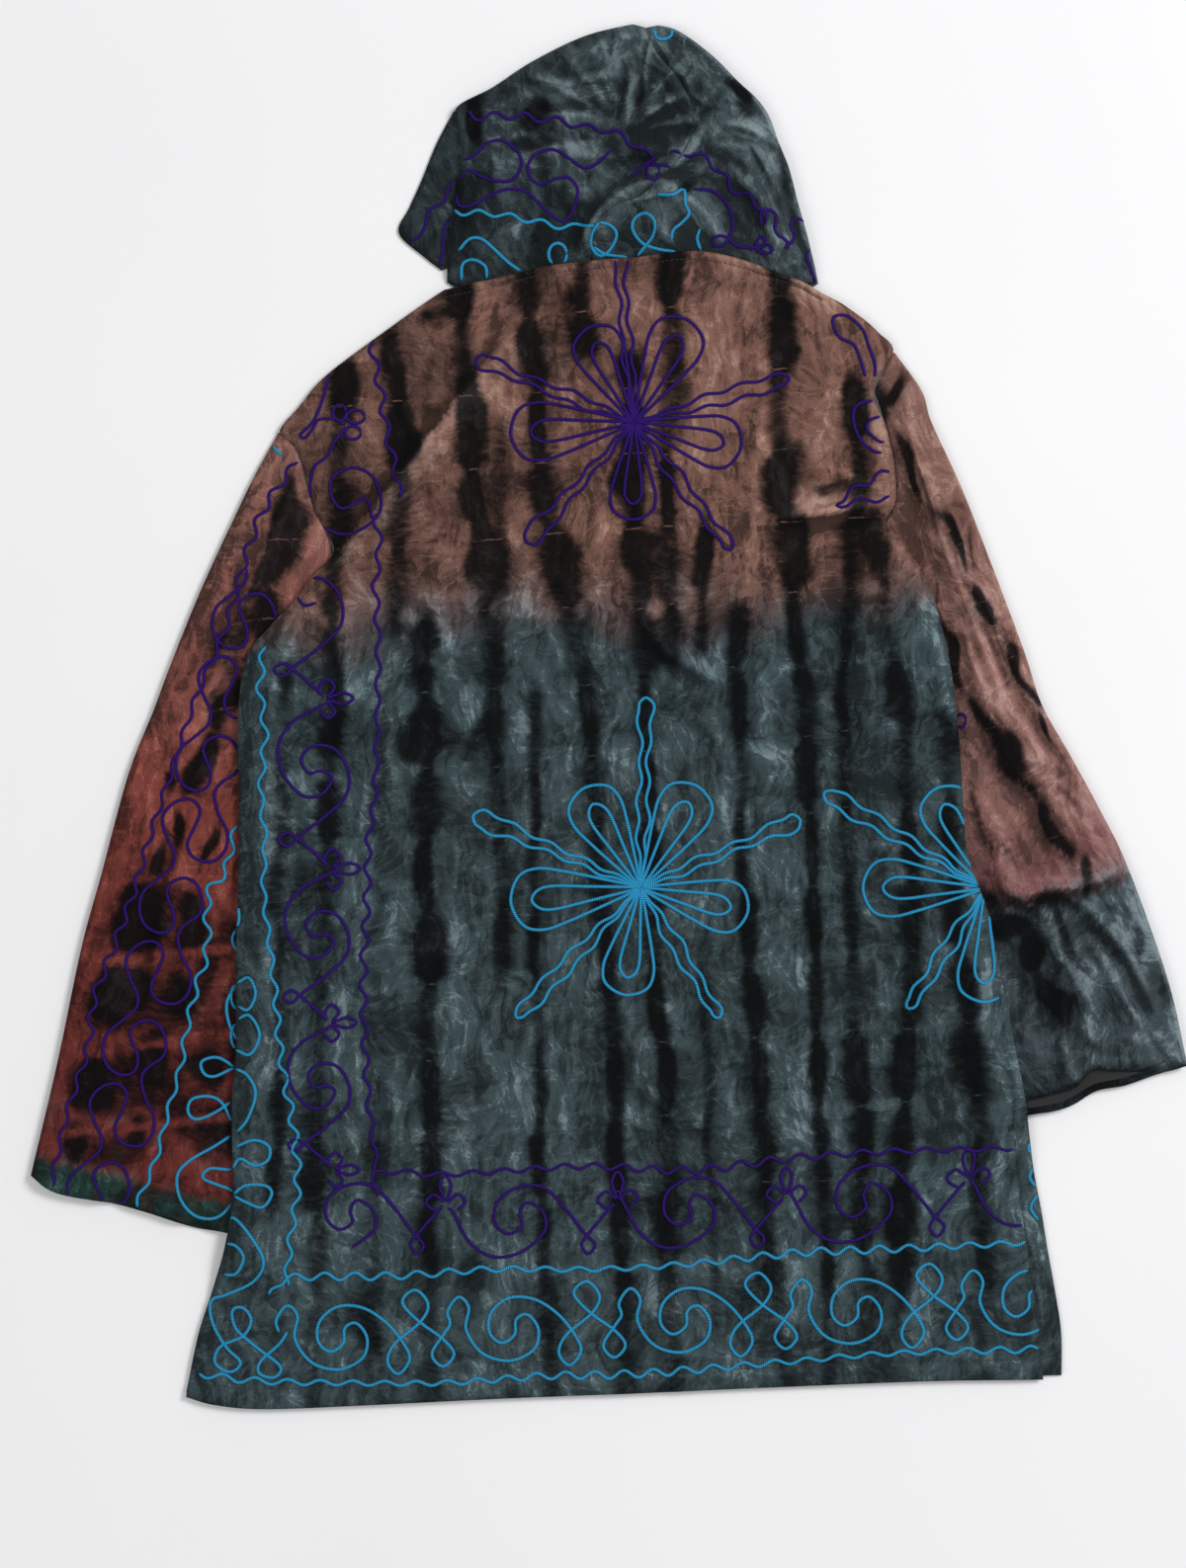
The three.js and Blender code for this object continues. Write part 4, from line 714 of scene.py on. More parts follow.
RIGHT_DYE_AND_PAINTED_SHADOW = [
    (187, -108, 9, 20, 0.97, 10), (197, -100, 7, 18, 0.95, -30), (206, -145, 4, 20, 0.8, 20),
    (213, -163, 5, 28, 0.92, 27),
    (233, -200, 4, 18, 0.85, 24), (240, -216, 6, 18, 0.95, 30), (254, -214, 4, 16, 0.6, 10),
    (262, -250, 6, 18, 0.95, 28),
    (270, -268, 7, 17, 0.95, 32), (288, -302, 5, 22, 0.95, 28), (298, -322, 5, 14, 0.9, 28),
    (240, -296, 6, 42, 0.92, 18),
    (268, -348, 6, 36, 0.94, 36), (284, -371, 11, 26, 0.98, 30), (294, -394, 4, 20, 0.8, 24),
    (307, -416, 7, 20, 0.95, 26),
    (318, -434, 7, 26, 0.95, 30), (309, -350, 3.5, 26, 0.85, 28), (339, -460, 5, 24, 0.75, 10),
    # The thin streaks at (316, -484) and (268, -484) here, and at (303, -478) below, are painted shadow under the elbow
    # fold; the rest are dye.
    (282, -500, 17, 16, 0.98, 40), (316, -484, 34, 7, 0.75, 4), (268, -484, 16, 9, 0.8, -10),
    (297, -518, 16, 22, 0.98, 30), (314, -553, 12, 32, 0.97, 33), (322, -503, 8, 32, 0.7, 20),
    (352, -510, 7, 36, 0.5, 22),
    (262, -420, 4, 44, 0.6, 20), (258, -478, 14, 8, 0.6, 10), (340, -575, 7, 28, 0.55, 30),
    (228, -262, 4, 34, 0.55, 18),
    (276, -440, 3.5, 36, 0.5, 24), (246, -350, 4, 30, 0.55, 16), (378, -520, 5, 34, 0.5, 20),
    (303, -478, 42, 4, 0.6, -10),
]
LEFT_ROLLS = [
    (2.6, 12, (-268, -200), (-300, -280), (-326, -352)), (2.4, 10, (-330, -420), (-352, -500), (-360, -560)),
]
RIGHT_ROLLS = [
    (5.0, 16, (258, -466), (282, -476), (306, -474), (334, -468), (372, -456)),
    (3.0, 12, (232, -250), (252, -310), (284, -380), (318, -440)),
    (2.8, 10, (212, -190), (222, -260), (238, -330), (262, -400)), (2.4, 9, (262, -200), (290, -280), (312, -340)),
    (2.8, 11, (300, -492), (330, -540), (344, -590)), (2.4, 9, (336, -480), (368, -520), (392, -566)),
]
ARMHOLE_COLUMNS = 15
armhole_share = (1 - np.cos(math.pi * np.arange(ARMHOLE_COLUMNS) / (ARMHOLE_COLUMNS - 1))) / 2


def armhole_line(side, rings):
    """The seam round the armhole as columns run, first beside the body, then under it."""
    rows = ends[ARMHOLE_ROWS][::-1]
    shown = (rows[:, :2] if side < 0 else rows[:, 2:]) + [0.8 * side, -0.4]
    hidden = ARMHOLE_COLUMNS - len(shown)
    steps = (np.arange(hidden)[:, None] + 1) / hidden
    return np.vstack([shown, shown[-1] * (1 - steps) + np.array(rings[0][2:]) * steps])


def sleeve_plan(rings, armhole, cuff, t, v):
    """Places on a sleeve in plan: t from the outer fold to the underarm, v from the armhole to the cuff."""
    ring = spline(rings, len(v))
    grid = ring[:, None, :2] * (1 - t[None, :, None]) + ring[:, None, 2:] * t[None, :, None]
    hole = np.stack([np.interp(t, armhole_share, armhole[:, k]) for k in (0, 1)], 1)
    line = spline(cuff, 300)
    end = np.stack([np.interp(t, np.linspace(0, 1, 300), line[:, k]) for k in (0, 1)], 1)
    return (grid + ((1 - v) ** 3)[:, None, None] * (hole - grid[0])[None]
            + (v**8)[:, None, None] * (end - grid[-1])[None])


def pressed(plan_x, plan_y, off_edge, solid, under, rounding):
    """The height of one face of a flattened tube, from its solid, rounded off towards its long folds."""
    top, low = solid.heights(plan_x, plan_y, misses=np.nan), solid.heights(plan_x, plan_y, True, misses=np.nan)
    for found in (top, low):  # places right at the fold take the height found further in
        for row in found:
            bad = np.isnan(row)
            if bad.any() and not bad.all():
                row[bad] = np.interp(np.flatnonzero(bad), np.flatnonzero(~bad), row[~bad])
    inside = off_edge >= rounding
    for found in (top, low):
        for row, keep in zip(found, inside):
            if keep.any():
                row[~keep] = np.interp(np.flatnonzero(~keep), np.flatnonzero(keep), row[keep])
    top, low = softened(top, 4), softened(low, 2)
    middle, half = (top + low) / 2, (top - low) / 2
    share = np.sqrt(np.clip(1 - (1 - np.clip(off_edge / half, 0, 1)) ** 2, 0, 1))
    return middle + (-half if under else half) * share


def inward(grid, wall):
    """The inner face of a tube of cloth: its outer face moved in along its normals."""
    along = np.roll(grid, -1, 1) - np.roll(grid, 1, 1)
    up = np.gradient(grid, axis=0)
    normal = np.cross(along, up)
    return grid - wall * normal / np.maximum(np.linalg.norm(normal, axis=2, keepdims=True), 1e-9)


def sleeve(side, name, node, rings, cuff, cuff_under, folds, rolls, wrinkle, marks, material):
    """One sleeve, pressed flat: its upper half from the armhole to the cuff, then its lower half."""
    t = (1 - np.cos(math.pi * np.arange(SLEEVE_COLUMNS + 1) / SLEEVE_COLUMNS)) / 2
    v = np.linspace(0, 1, SLEEVE_ROWS + 1)
    armhole = armhole_line(side, rings)
    solid = Surface(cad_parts[node])
    faces = []
    for line, under in ((cuff, False), (cuff_under, True)):
        grid = sleeve_plan(rings, armhole, line, t, v)
        x, y = grid[..., 0], grid[..., 1]
        width = np.linalg.norm(grid[:, -1] - grid[:, 0], axis=1)[:, None]
        off_edge = np.minimum(t, 1 - t)[None, :] * width
        z = pressed(x, y, off_edge, solid, under, SLEEVE_ROUND)
        if not under:
            body_edge = np.interp(y, ends[:, 1] if side < 0 else ends[:, 3], ends[:, 0] if side < 0 else ends[:, 2])
            show = np.interp(y, *zip(*SIDE_SHOW)) if side > 0 else 0
            free = smooth(((x - body_edge - show) * side - 3) / 16) * smooth(off_edge / 12)
            from_cuff = (1 - v)[:, None] * np.linalg.norm(np.subtract(rings[0][:2], rings[-1][:2]))
            hemmed = 0.5 * smooth((CUFF_TURN - 1 - from_cuff) / 3)
            hemmed -= 0.5 * np.exp(-(((from_cuff - CUFF_TURN) / 1.8) ** 2))
            roll, shade = rolled(rolls, x, y)
            lift, shade = free * (wrinkle(x, y) + fold_height(folds, x, y) + roll + hemmed), free * shade
            z = z + lift
        faces.append(np.dstack([x, y, z]))
    ring = np.hstack([faces[0], faces[1][:, -2:0:-1]])
    outer, lift, shade = (part[:, ::side] for part in (
        ring, *(np.hstack([part, 0 * part[:, -2:0:-1]]) for part in (lift, shade))))
    made = shell(name, outer, inward(outer, SLEEVE_WALL), marks(outer[..., 0], outer[..., 1]), material, True, lift,
                 shade)
    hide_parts(node)
    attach(made, "jacket")
    return made


def left_wrinkle(x, y):
    return (1.3 * creased(x, y, 40, 201, 74, 2.4) + 0.9 * creased(x, y, 22, 211, 60, 1.6)
            + 0.5 * creased(x, y, 13, 221, 110, 1.4) - 0.5)


def right_wrinkle(x, y):
    return (2.8 * creased(x, y, 36, 301, 116, 4.0) + 1.9 * creased(x, y, 22, 311, 122, 3.0)
            + 0.8 * creased(x, y, 13, 321, 60, 1.4) - 1.0)


def left_marks(x, y):
    row = (-y + 0.1 * x + 4 * cloudy(x, y, 40, 71)) / 61 + 0.97
    knot = np.exp(-(((row - np.round(row)) / 0.06) ** 2))
    blots = smooth((cloudy(x, y, 44, 74) - 0.1) / 0.8) * smooth((-y - 420) / 160)
    from_cuff = y - np.interp(x, *zip(*LEFT_CUFF))
    tone = np.interp(-y + 18 * cloudy(x, y, 60, 75), *LEFT_TONES)
    green = smooth((26 + 7 * cloudy(x, y, 30, 76) - from_cuff) / 14)
    dye = patches(LEFT_DYE, x, y, 1.25) * (1 - 0.75 * knot * smooth((-y - 430) / 60))
    dye = np.maximum(dye, 0.5 * blots) * (1 - 0.7 * green) + 0.5 * green * smooth(cloudy(x, y, 20, 77))
    return {"dye": np.clip(dye, 0, 1), "tone": tone + (1 - tone) * green, "ties": row}


def right_marks(x, y):
    down = -y + 0.26 * (x - 300) + 5 * cloudy(x, y, 30, 83)
    tone = np.interp(down, *RIGHT_TONES)
    cuff = y - np.interp(x, *zip(*sorted(RIGHT_CUFF)))
    dark = smooth((down - 474) / 14) * (0.1 + 0.28 * smooth(0.4 + cloudy(x, y, 36, 84))) + 0.4 * smooth((8 - cuff) / 8)
    spread = 0.45 * patches(RIGHT_DYE_AND_PAINTED_SHADOW, x + 2, y + 3, 1.9)  # the dye creeps a little way past each streak, and the painted shadow under the elbow fold widens with it
    # The dye attribute carries the painted shadow under the elbow fold too.
    return {"dye": np.clip(np.maximum.reduce([patches(RIGHT_DYE_AND_PAINTED_SHADOW, x, y), spread, dark]), 0, 1), "tone": tone,
            "ties": (-y + 0.3 * x) / 48}


RED_PALETTE = [
    (0.0, *shades((132, 94, 85), (174, 134, 122))), (0.25, *shades((122, 76, 69), (160, 110, 100))),
    (0.5, *shades((114, 56, 49), (150, 88, 78))), (0.72, *shades((98, 44, 41), (130, 72, 67))),
    (1.0, *shades((30, 52, 48), (66, 92, 84))),
]
BROWN_PALETTE = [
    (0.0, *shades((116, 84, 76), (158, 124, 114), 0.6)), (0.3, *shades((130, 95, 88), (172, 138, 130), 0.62)),
    (0.5, *shades((128, 92, 86), (166, 132, 126), 0.62)), (0.72, *shades((104, 68, 68), (140, 102, 100), 0.6)),
    (1.0, *shades((62, 73, 78), (116, 130, 136), 0.5)),
]
red_velvet = velvet("red_sleeve_velvet", RED_PALETTE, turn=-14, tie_marks=0.5)
brown_velvet = velvet("brown_sleeve_velvet", BROWN_PALETTE, long=8, turn=27, tie_marks=0.2, depth=0.8)
sleeve_left = sleeve(-1, "sleeve_left_cloth", "sleeve_left", LEFT_RINGS, LEFT_CUFF, LEFT_CUFF_UNDER, LEFT_FOLDS,
                     LEFT_ROLLS, left_wrinkle, left_marks, red_velvet)
sleeve_right = sleeve(1, "sleeve_right_cloth", "sleeve_right", RIGHT_RINGS, RIGHT_CUFF, RIGHT_CUFF_UNDER,
                      RIGHT_FOLDS, RIGHT_ROLLS, right_wrinkle, right_marks, brown_velvet)

# ---------------------------------------------------------------- Cuff lining
# The plain black lining of the right sleeve, which shows inside the cuff where its front half hangs past the back
# half. It is sewn into the cuff's hem.
LINING_THICK = 0.7
LINING_LEVEL = 2.3
LINING_FROM, LINING_TO = 0.104, 0.811  # share of the sleeve's width
LINING_DEPTH = 0.05

lining_black, end = finish("lining_black")
weave = place(end).vector("MULTIPLY", (1, 1.6, 1)).cloud(1.2, 2)
join(end, end.node("ShaderNodeBsdfPrincipled", {}, {
    "Base Color": weave.mix(srgb(10, 10, 11), srgb(22, 22, 24)), "Roughness": 0.75,
    "Normal": end.node("ShaderNodeBump", {}, {"Strength": 0.3, "Distance": 0.0004, "Height": weave})}))
t = np.linspace(LINING_FROM, LINING_TO, 41)
v = np.linspace(0, 1, SLEEVE_ROWS + 1)
strip = sleeve_plan(RIGHT_RINGS, armhole_line(1, RIGHT_RINGS), RIGHT_CUFF_UNDER, t, v)
strip = strip[int(SLEEVE_ROWS * (1 - LINING_DEPTH)):][::-1] + [0, 1]
level = LINING_LEVEL + 0.25 * (1 + cloudy(strip[..., 0], strip[..., 1], 14, 91)) * 0.5
lining = shell("cuff_lining", np.dstack([strip, level + LINING_THICK]), np.dstack([strip, level]), {}, lining_black)
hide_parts("lining_right_cuff")
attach(lining, "jacket")

# ---------------------------------------------------------------- Hood
# Two panels of slate velvet joined by a seam over the crown, lying on their face opening. The cloth is one layer
# over the top, folds under at the outline and runs back to the edge of the opening. The left one's edge lies out
# flat beside it.
HOOD_LEFT_EDGE = [(-139, -18), (-138, 6), (-135, 31), (-131, 49), (-128, 67), (-129, 92), (-132, 112), (-104, 128),
                  (-75, 147), (-36, 166), (4, 176)]
HOOD_RIGHT_EDGE = [(139, -19), (136, -5), (130, 19), (124, 40), (117, 67), (109, 87), (102, 106), (93, 119),
                   (79, 132), (59, 152), (34, 170), (16, 175)]
HOOD_SEAM = [(-34, -14), (-31, 2), (-30, 20), (-13, 37), (7, 46), (35, 72), (43, 90), (47, 101), (37, 127),
             (15, 157), (9, 176)]
HOOD_BASE = [(-139, -19), (-112, -27), (-102, -27), (-66, -18), (-34, -14), (4, -11), (34, -7), (55, -7), (79, -12),
             (102, -20), (112, -22), (139, -20)]
HOOD_COLUMNS, HOOD_UNDER_COLUMNS, HOOD_ROWS = 74, 22, 110
HOOD_WALL = 1.7
HOOD_ROUND = 9
HOOD_SEAM_LAP = 0.2  # how far each panel goes past the crown seam
OPENING_HALF, OPENING_TOP, OPENING_BASE = 40, 118, -96
FLAP_EDGE = [(-134, 110), (-147, 85), (-158, 58), (-167, 38), (-175, 19), (-156, 1), (-143, -9)]
FLAP_ROOT = [(-131, 108), (-128, 90), (-127, 67), (-130, 49), (-134, 31), (-136, 8), (-137, -7)]
HOOD_FOLDS = [
    (-38, 6, 84, 60, 9, 4.0, 1), (-24, 32, 52, 70, 12, 5.0, 1), (4, 54, 42, 80, 12, 5.5, 1),
    (32, 76, 45, 70, 11, 5.0, 1),
    (50, 92, 50, 50, 8, 3.5, 1), (-2, 66, 42, 90, 7, -2.6, 0), (22, 45, 14, 60, 6, 3.0, -1),
    (52, 42, -44, 50, 6, 3.0, 1),
    (34, 51, 8, 70, 5, -3.0, 0), (70, 33, -55, 60, 6, -3.0, 0), (20, 102, 17, 66, 6, -4.0, 0),
    (5, 119, 66, 60, 4, -3.0, 0),
    (13, 111, 40, 60, 4, -3.0, 0), (17, 106, 28, 62, 4, 3.0, 0), (9, 117, 53, 62, 4, 3.0, 0),
    (-4, 122, 84, 60, 5, 2.5, 1),
    (-68, 115, 28, 60, 5, 2.4, 1), (-98, 112, 35, 70, 6, 2.4, 1), (80, 85, -20, 100, 18, 4.0, 1),
    (-68, 60, 90, 110, 5, -2.2, 0),
    (-49, 66, 92, 90, 7, 2.2, 1), (92, 46, -44, 80, 7, 3.0, 1), (-92, 20, 30, 80, 7, 2.4, 1),
    (-40, 128, 12, 80, 5, 2.6, -1),
    (72, 108, 14, 70, 6, 2.6, 1), (44, 138, 60, 60, 5, 2.4, 1), (104, 14, -70, 70, 6, 2.4, 1),
    (-104, 62, 96, 80, 6, 2.0, 1),
    (20, 20, 70, 40, 6, 2.0, 1), (-12, 146, 40, 60, 5, 2.4, 1), (96, 70, -60, 70, 6, 2.4, -1),
    (-84, 88, 10, 60, 5, 1.8, -1),
    *scattered(26, 143, -125, 115, 0, 165, 50, 50),
]
HOOD_ROLLS = [
    (6.0, 16, (70, 2), (64, 18), (51, 35), (34, 49), (20, 55), (-3, 50), (-20, 38), (-33, 21), (-42, -2)),
    (5.0, 12, (4, 60), (27, 65), (44, 78), (54, 99)), (4.0, 9, (-8, 92), (-2, 112), (2, 134)),
    (4.0, 9, (-6, 92), (14, 108), (40, 122)), (4.0, 9, (-4, 90), (22, 98), (50, 101)),
    (3.6, 10, (-8, 92), (-34, 104), (-72, 104)), (3.4, 12, (-24, 84), (-60, 80), (-96, 72)),
    (3.4, 12, (60, 100), (84, 96), (108, 84)), (3.4, 10, (62, 62), (84, 50), (104, 26)),
]
HOOD_DYE_AND_PAINTED_SHADOW = [
    (81, 120, 14, 20, 0.9, 30), (115, 68, 6, 28, 0.6, 20), (-70, 101, 12, 18, 0.85, 20), (-114, 105, 8, 24, 0.9, 0),
    (-74, 72, 10, 15, 0.5, 0), (15, 74, 26, 9, 0.6, 20), (-30, 168, 18, 8, 0.4, -30), (37, 149, 10, 12, 0.35, 0),
    # The spot at (46, 50) is painted shadow inside the lobe under the crown seam's roll; the rest are dye.
    (-126, 38, 8, 22, 0.6, 0), (-70, 16, 5, 20, 0.55, 0), (-118, 2, 20, 8, 0.4, 0), (46, 50, 16, 8, 0.7, 50),
    (-59, 135, 18, 8, 0.45, -20), (8, 116, 5, 26, 0.45, -20), (50, 104, 6, 26, 0.45, -40),
]


def hood_wrinkle(x, y):
    out, spread = np.hypot(x + 6, y - 92), np.degrees(np.arctan2(y - 92, x + 6))
    fan = creased(out * 0.3, spread * 0.75, 15, 401)
    fan *= smooth((y - 70) / 40) * smooth((out - 6) / 20) * smooth((110 - out) / 50)
    return (2.0 * creased(x, y, 34, 411, 30, 1.6) + 1.5 * creased(x, y, 22, 421, 110, 1.6)
            + 1.0 * creased(x, y, 13, 431, 60, 1.3) + 2.6 * fan - 1.4)


def hood_marks(x, y):
    tone = np.clip(0.5 + 0.55 * cloudy(x, y, 46, 88) - 0.4 * smooth((-20 - x) / 60) * smooth((110 - y) / 40), 0, 1)
    # The dye attribute carries that painted shadow spot too.
    return {"dye": np.maximum(patches(HOOD_DYE_AND_PAINTED_SHADOW, x, y), 0.25 * smooth(cloudy(x, y, 38, 89) - 0.1)), "tone": tone,
            "ties": 0 * x}


HOOD_PALETTE = [
    (0.0, *shades((42, 51, 54), (80, 93, 97))), (0.5, *shades((58, 69, 73), (98, 112, 116))),
    (1.0, *shades((74, 87, 91), (120, 134, 138))),
]
hood_velvet = velvet("hood_velvet", HOOD_PALETTE, long=2.5, turn=30, depth=0.9, facet=30)


def hood_panel(side, name, node, edge):
    """One panel of the hood: from the crown seam over to its outline, and then under to the face opening."""
    rim = spline(edge, HOOD_ROWS + 1)[: HOOD_ROWS - 1]
    seam = spline(HOOD_SEAM, HOOD_ROWS + 1)[: HOOD_ROWS - 1] - [HOOD_SEAM_LAP * side, 0]
    base = [p for p in HOOD_BASE if (p[0] - HOOD_SEAM[0][0]) * side >= 0]
    base[0 if side > 0 else -1] = tuple(seam[0])
    base[-1 if side > 0 else 0] = tuple(rim[0])
    base = spline(base if side > 0 else base[::-1], 400)
    a = np.sin(0.5 * math.pi * np.linspace(0, 1, HOOD_COLUMNS + 1)) * 0.5 + np.linspace(0, 1, HOOD_COLUMNS + 1) * 0.5
    v = np.linspace(0, 1, len(rim))[:, None, None]
    grid = seam[:, None] * (1 - a[None, :, None]) + rim[:, None] * a[None, :, None]
    start = np.stack([np.interp(a, np.linspace(0, 1, 400), base[:, k]) for k in (0, 1)], 1)
    grid = grid + (1 - v) ** 5 * (start - grid[0])[None]
    x, y = grid[..., 0], grid[..., 1]
    solid = Surface(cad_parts[node])
    off_edge = np.linalg.norm(grid - rim[:, None], axis=2)
    z = pressed(x[:, ::-1], y[:, ::-1], off_edge[:, ::-1], solid, False, HOOD_ROUND)[:, ::-1]
    from_seam = np.linalg.norm(grid - seam[:, None], axis=2)
    free = smooth(off_edge / 22) * smooth((y + 6) / 24)
    lift = free * (hood_wrinkle(x, y) + fold_height(HOOD_FOLDS, x, y) - 1.1 * np.exp(-((from_seam / 3) ** 2)))
    roll, shade = rolled(HOOD_ROLLS, x, y)
    lift += smooth(off_edge / 16) * smooth((y + 12) / 14) * roll
    over = np.dstack([x, y, z + lift])
    # Under the fold, back to the edge of the face opening.
    along = spline(HOOD_SEAM, 200)
    reach = OPENING_BASE + (OPENING_TOP - OPENING_BASE) * np.linspace(0.04, 0.97, len(rim))
    spread = OPENING_HALF * np.sin(math.pi * (0.06 + 0.93 * np.linspace(0.04, 0.97, len(rim)))) ** 0.7
    face = np.interp(reach, along[:, 1], along[:, 0]) * smooth(1 + reach / 60) + side * (spread + 2)
    face = np.stack([face, reach], 1)
    face[:, 0] = side * np.maximum(side * face[:, 0], 8)
    b = np.linspace(0, 1, HOOD_UNDER_COLUMNS + 1)[1:] ** 1.25
    below = rim[:, None] * (1 - b[None, :, None]) + face[:, None] * b[None, :, None]
    low = solid.heights(below[..., 0], below[..., 1], under=True)
    low = np.clip(softened(low, 2), 0.02, None)
    edge_z = over[:, -1:, 2]
    sunk = smooth(np.linalg.norm(below - rim[:, None], axis=2) / 5)
    low = edge_z * (1 - sunk) ** 2 + low * (1 - (1 - sunk) ** 2)
    lower = np.dstack([below, low])
    sheet, lift, shade = (np.hstack(pair)[:, ::side] for pair in ((over, lower), (lift, 0 * low), (shade, 0 * low)))
    beneath = np.arange(sheet.shape[1])[::side] > HOOD_COLUMNS
    normal = np.cross(np.gradient(sheet, axis=1), np.gradient(sheet, axis=0))
    normal[:, beneath, 2] = -np.abs(normal[:, beneath, 2])
    inner = sheet - HOOD_WALL * normal / np.maximum(np.linalg.norm(normal, axis=2, keepdims=True), 1e-9)
    made = shell(name, sheet, inner, hood_marks(sheet[..., 0], sheet[..., 1]), hood_velvet, lift=lift,
                 shade=shade)
    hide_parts(node)
    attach(made, "jacket")
    return made


hood_left = hood_panel(-1, "hood_left_cloth", "hood_left", HOOD_LEFT_EDGE)
hood_right = hood_panel(1, "hood_right_cloth", "hood_right", HOOD_RIGHT_EDGE)

# The edge of the left panel's opening, a narrow strip that lies out flat beyond the hood's outline.
FLAP_THICK = 2.2
a = np.linspace(0, 1, 19)[None, :, None]
grid = spline(FLAP_EDGE[::-1], 61)[:, None] * (1 - a) + spline(FLAP_ROOT[::-1], 61)[:, None] * a
x, y = grid[..., 0], grid[..., 1]
rise = 0.6 * smooth(a[..., 0] / 0.12) + 0.8 * creased(x, y, 22, 441, 70, 1.5) * smooth(a[..., 0] / 0.3)
flap = shell("hood_left_edge", np.dstack([x, y, FLAP_THICK - 0.6 + rise]), np.dstack([x, y, 0 * x + 0.02]),
             hood_marks(x, y), hood_velvet)
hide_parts("hood_left")
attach(flap, "jacket")

# ---------------------------------------------------------------- Zip
# A coil zip down the centre front, under the jacket: two woven tapes, nylon teeth, and a metal slider with a
# hanging tab. The zip is closed, so its slider is at the neck.
TOOTH_PITCH = 2.6
TOOTH_SIZE = (2.6, 1.5, 1.9)
TOOTH_SET = 0.9  # how far each row of teeth is set off the centre line
TAPE_RIB = 0.9

tape_weave, end = finish("tape_weave")
here = place(end)
ribs = here.node("ShaderNodeTexWave", {"bands_direction": "Y"}, {"Vector": here, "Scale": 1000 / TAPE_RIB / 6.28,
                                                                 "Distortion": 0.6})
threads = here.vector("MULTIPLY", (2, 0.6, 1)).cloud(0.8, 2)
join(end, end.node("ShaderNodeBsdfPrincipled", {}, {
    # Painted shade between the ribs and paler colour on them, following the ribs' bump, mixed with the threads' own
    # uneven tone.
    "Base Color": (ribs * 0.6 + threads * 0.4).mix(srgb(12, 12, 14), srgb(40, 40, 44)), "Roughness": 0.8,
    "Normal": end.node("ShaderNodeBump", {}, {"Strength": 0.5, "Distance": 0.0003, "Height": ribs})}))
nylon, end = finish("nylon_teeth")
wear = place(end).cloud(3, 2)
join(end, end.node("ShaderNodeBsdfPrincipled", {}, {
    "Base Color": wear.mix(srgb(18, 18, 20), srgb(44, 44, 48)), "Roughness": wear.rise(0.2, 0.8, 0.3) + 0.3}))
zip_metal, end = finish("dark_zip_metal")
here = place(end)
scuffs = here.cloud(2.4, 4, 0.65)
join(end, end.node("ShaderNodeBsdfPrincipled", {}, {
    "Base Color": scuffs.rise(0.45, 0.75).mix(srgb(70, 70, 74), srgb(140, 140, 144)), "Metallic": 0.95,
    "Roughness": scuffs.rise(0.3, 0.8, 0.25) + 0.28,
    "Normal": end.node("ShaderNodeBump", {}, {"Strength": 0.2, "Distance": 0.0002, "Height": scuffs})}))
for node, metal in (("zip_tape_left", tape_weave), ("zip_tape_right", tape_weave), ("zip_slider", zip_metal),
                    ("zip_pull_tab", zip_metal)):
    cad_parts[node].data.materials.clear()
    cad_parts[node].data.materials.append(metal)


def bar_faces(start):
    """The faces of a small bar made of four rings of four points."""
    rings = [[start + 4 * r + c, start + 4 * r + (c + 1) % 4, start + 4 * r + 4 + (c + 1) % 4, start + 4 * r + 4 + c]
             for r in range(3) for c in range(4)]
    return rings + [[start + 3, start + 2, start + 1, start], [start + 12, start + 13, start + 14, start + 15]]


low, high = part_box("zip_chain")
chain = Surface(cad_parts["zip_chain"])
points, faces = [], []
wide, deep, tall = (np.array(TOOTH_SIZE) / 2).tolist()
for k, tooth_y in enumerate(np.arange((low.y - NECK_Y) * 1000 + 2, (high.y - NECK_Y) * 1000 - 1, TOOTH_PITCH / 2)):
    side = 1 if k % 2 else -1
    here_x, here_y = np.array([side * TOOTH_SET]), np.array([tooth_y])
    mid = (chain.heights(here_x, here_y)[0] + chain.heights(here_x, here_y, under=True)[0]) / 2
    start = len(points)
    for z, pinch in ((-tall, 0.72), (-0.4 * tall, 1), (0.4 * tall, 1), (tall, 0.72)):
        for cx, cy in ((-1, -1), (1, -1), (1, 1), (-1, 1)):
            reach = wide * (0.45 if cx * side < 0 else 1)
            points.append((side * TOOTH_SET + cx * reach * pinch, tooth_y + cy * deep * 0.5 * pinch, mid + z))
    faces += bar_faces(start)
teeth = piece("zip_teeth", points, faces, nylon)
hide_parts("zip_chain")
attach(teeth, "jacket")

# ---------------------------------------------------------------- Embroidery
# Corded thread couched on the velvet in purple and turquoise: two flowers and a half one on the back, a vine and
# a band of loops round its left side and hem, and more on the sleeves and hood. Each line is one twisted cord.
CORD_WIDE, CORD_HIGH = 2.4, 1.6
CORD_STEP = 2.1
CORD_SIDES = 6
CORD_TWIST = 3.6
CORD_ABOVE = 0.45  # the cord's middle over the cloth
COVERED_BY = 0.8  # a cord stops where another piece lies this far above the cloth it is sewn to
NOWHERE = -99.0  # the height given where there is no cloth
WAVE_REACH, WAVE_LENGTH = 2.3, 23
# Each thread's own colour, and the painted shade between its plies.
PURPLE, PURPLE_PLY_SHADE = srgb(44, 14, 104), srgb(20, 6, 52)
TURQUOISE, TURQUOISE_PLY_SHADE = srgb(44, 148, 192), srgb(14, 78, 116)
PETAL = [(0.0, 0.006), (0.3, 0.105), (0.55, 0.185), (0.76, 0.235), (0.92, 0.19)]
PETAL_INSIDE = [(0.02, 0.006), (0.4, 0.055), (0.66, 0.088), (0.78, 0.072)]


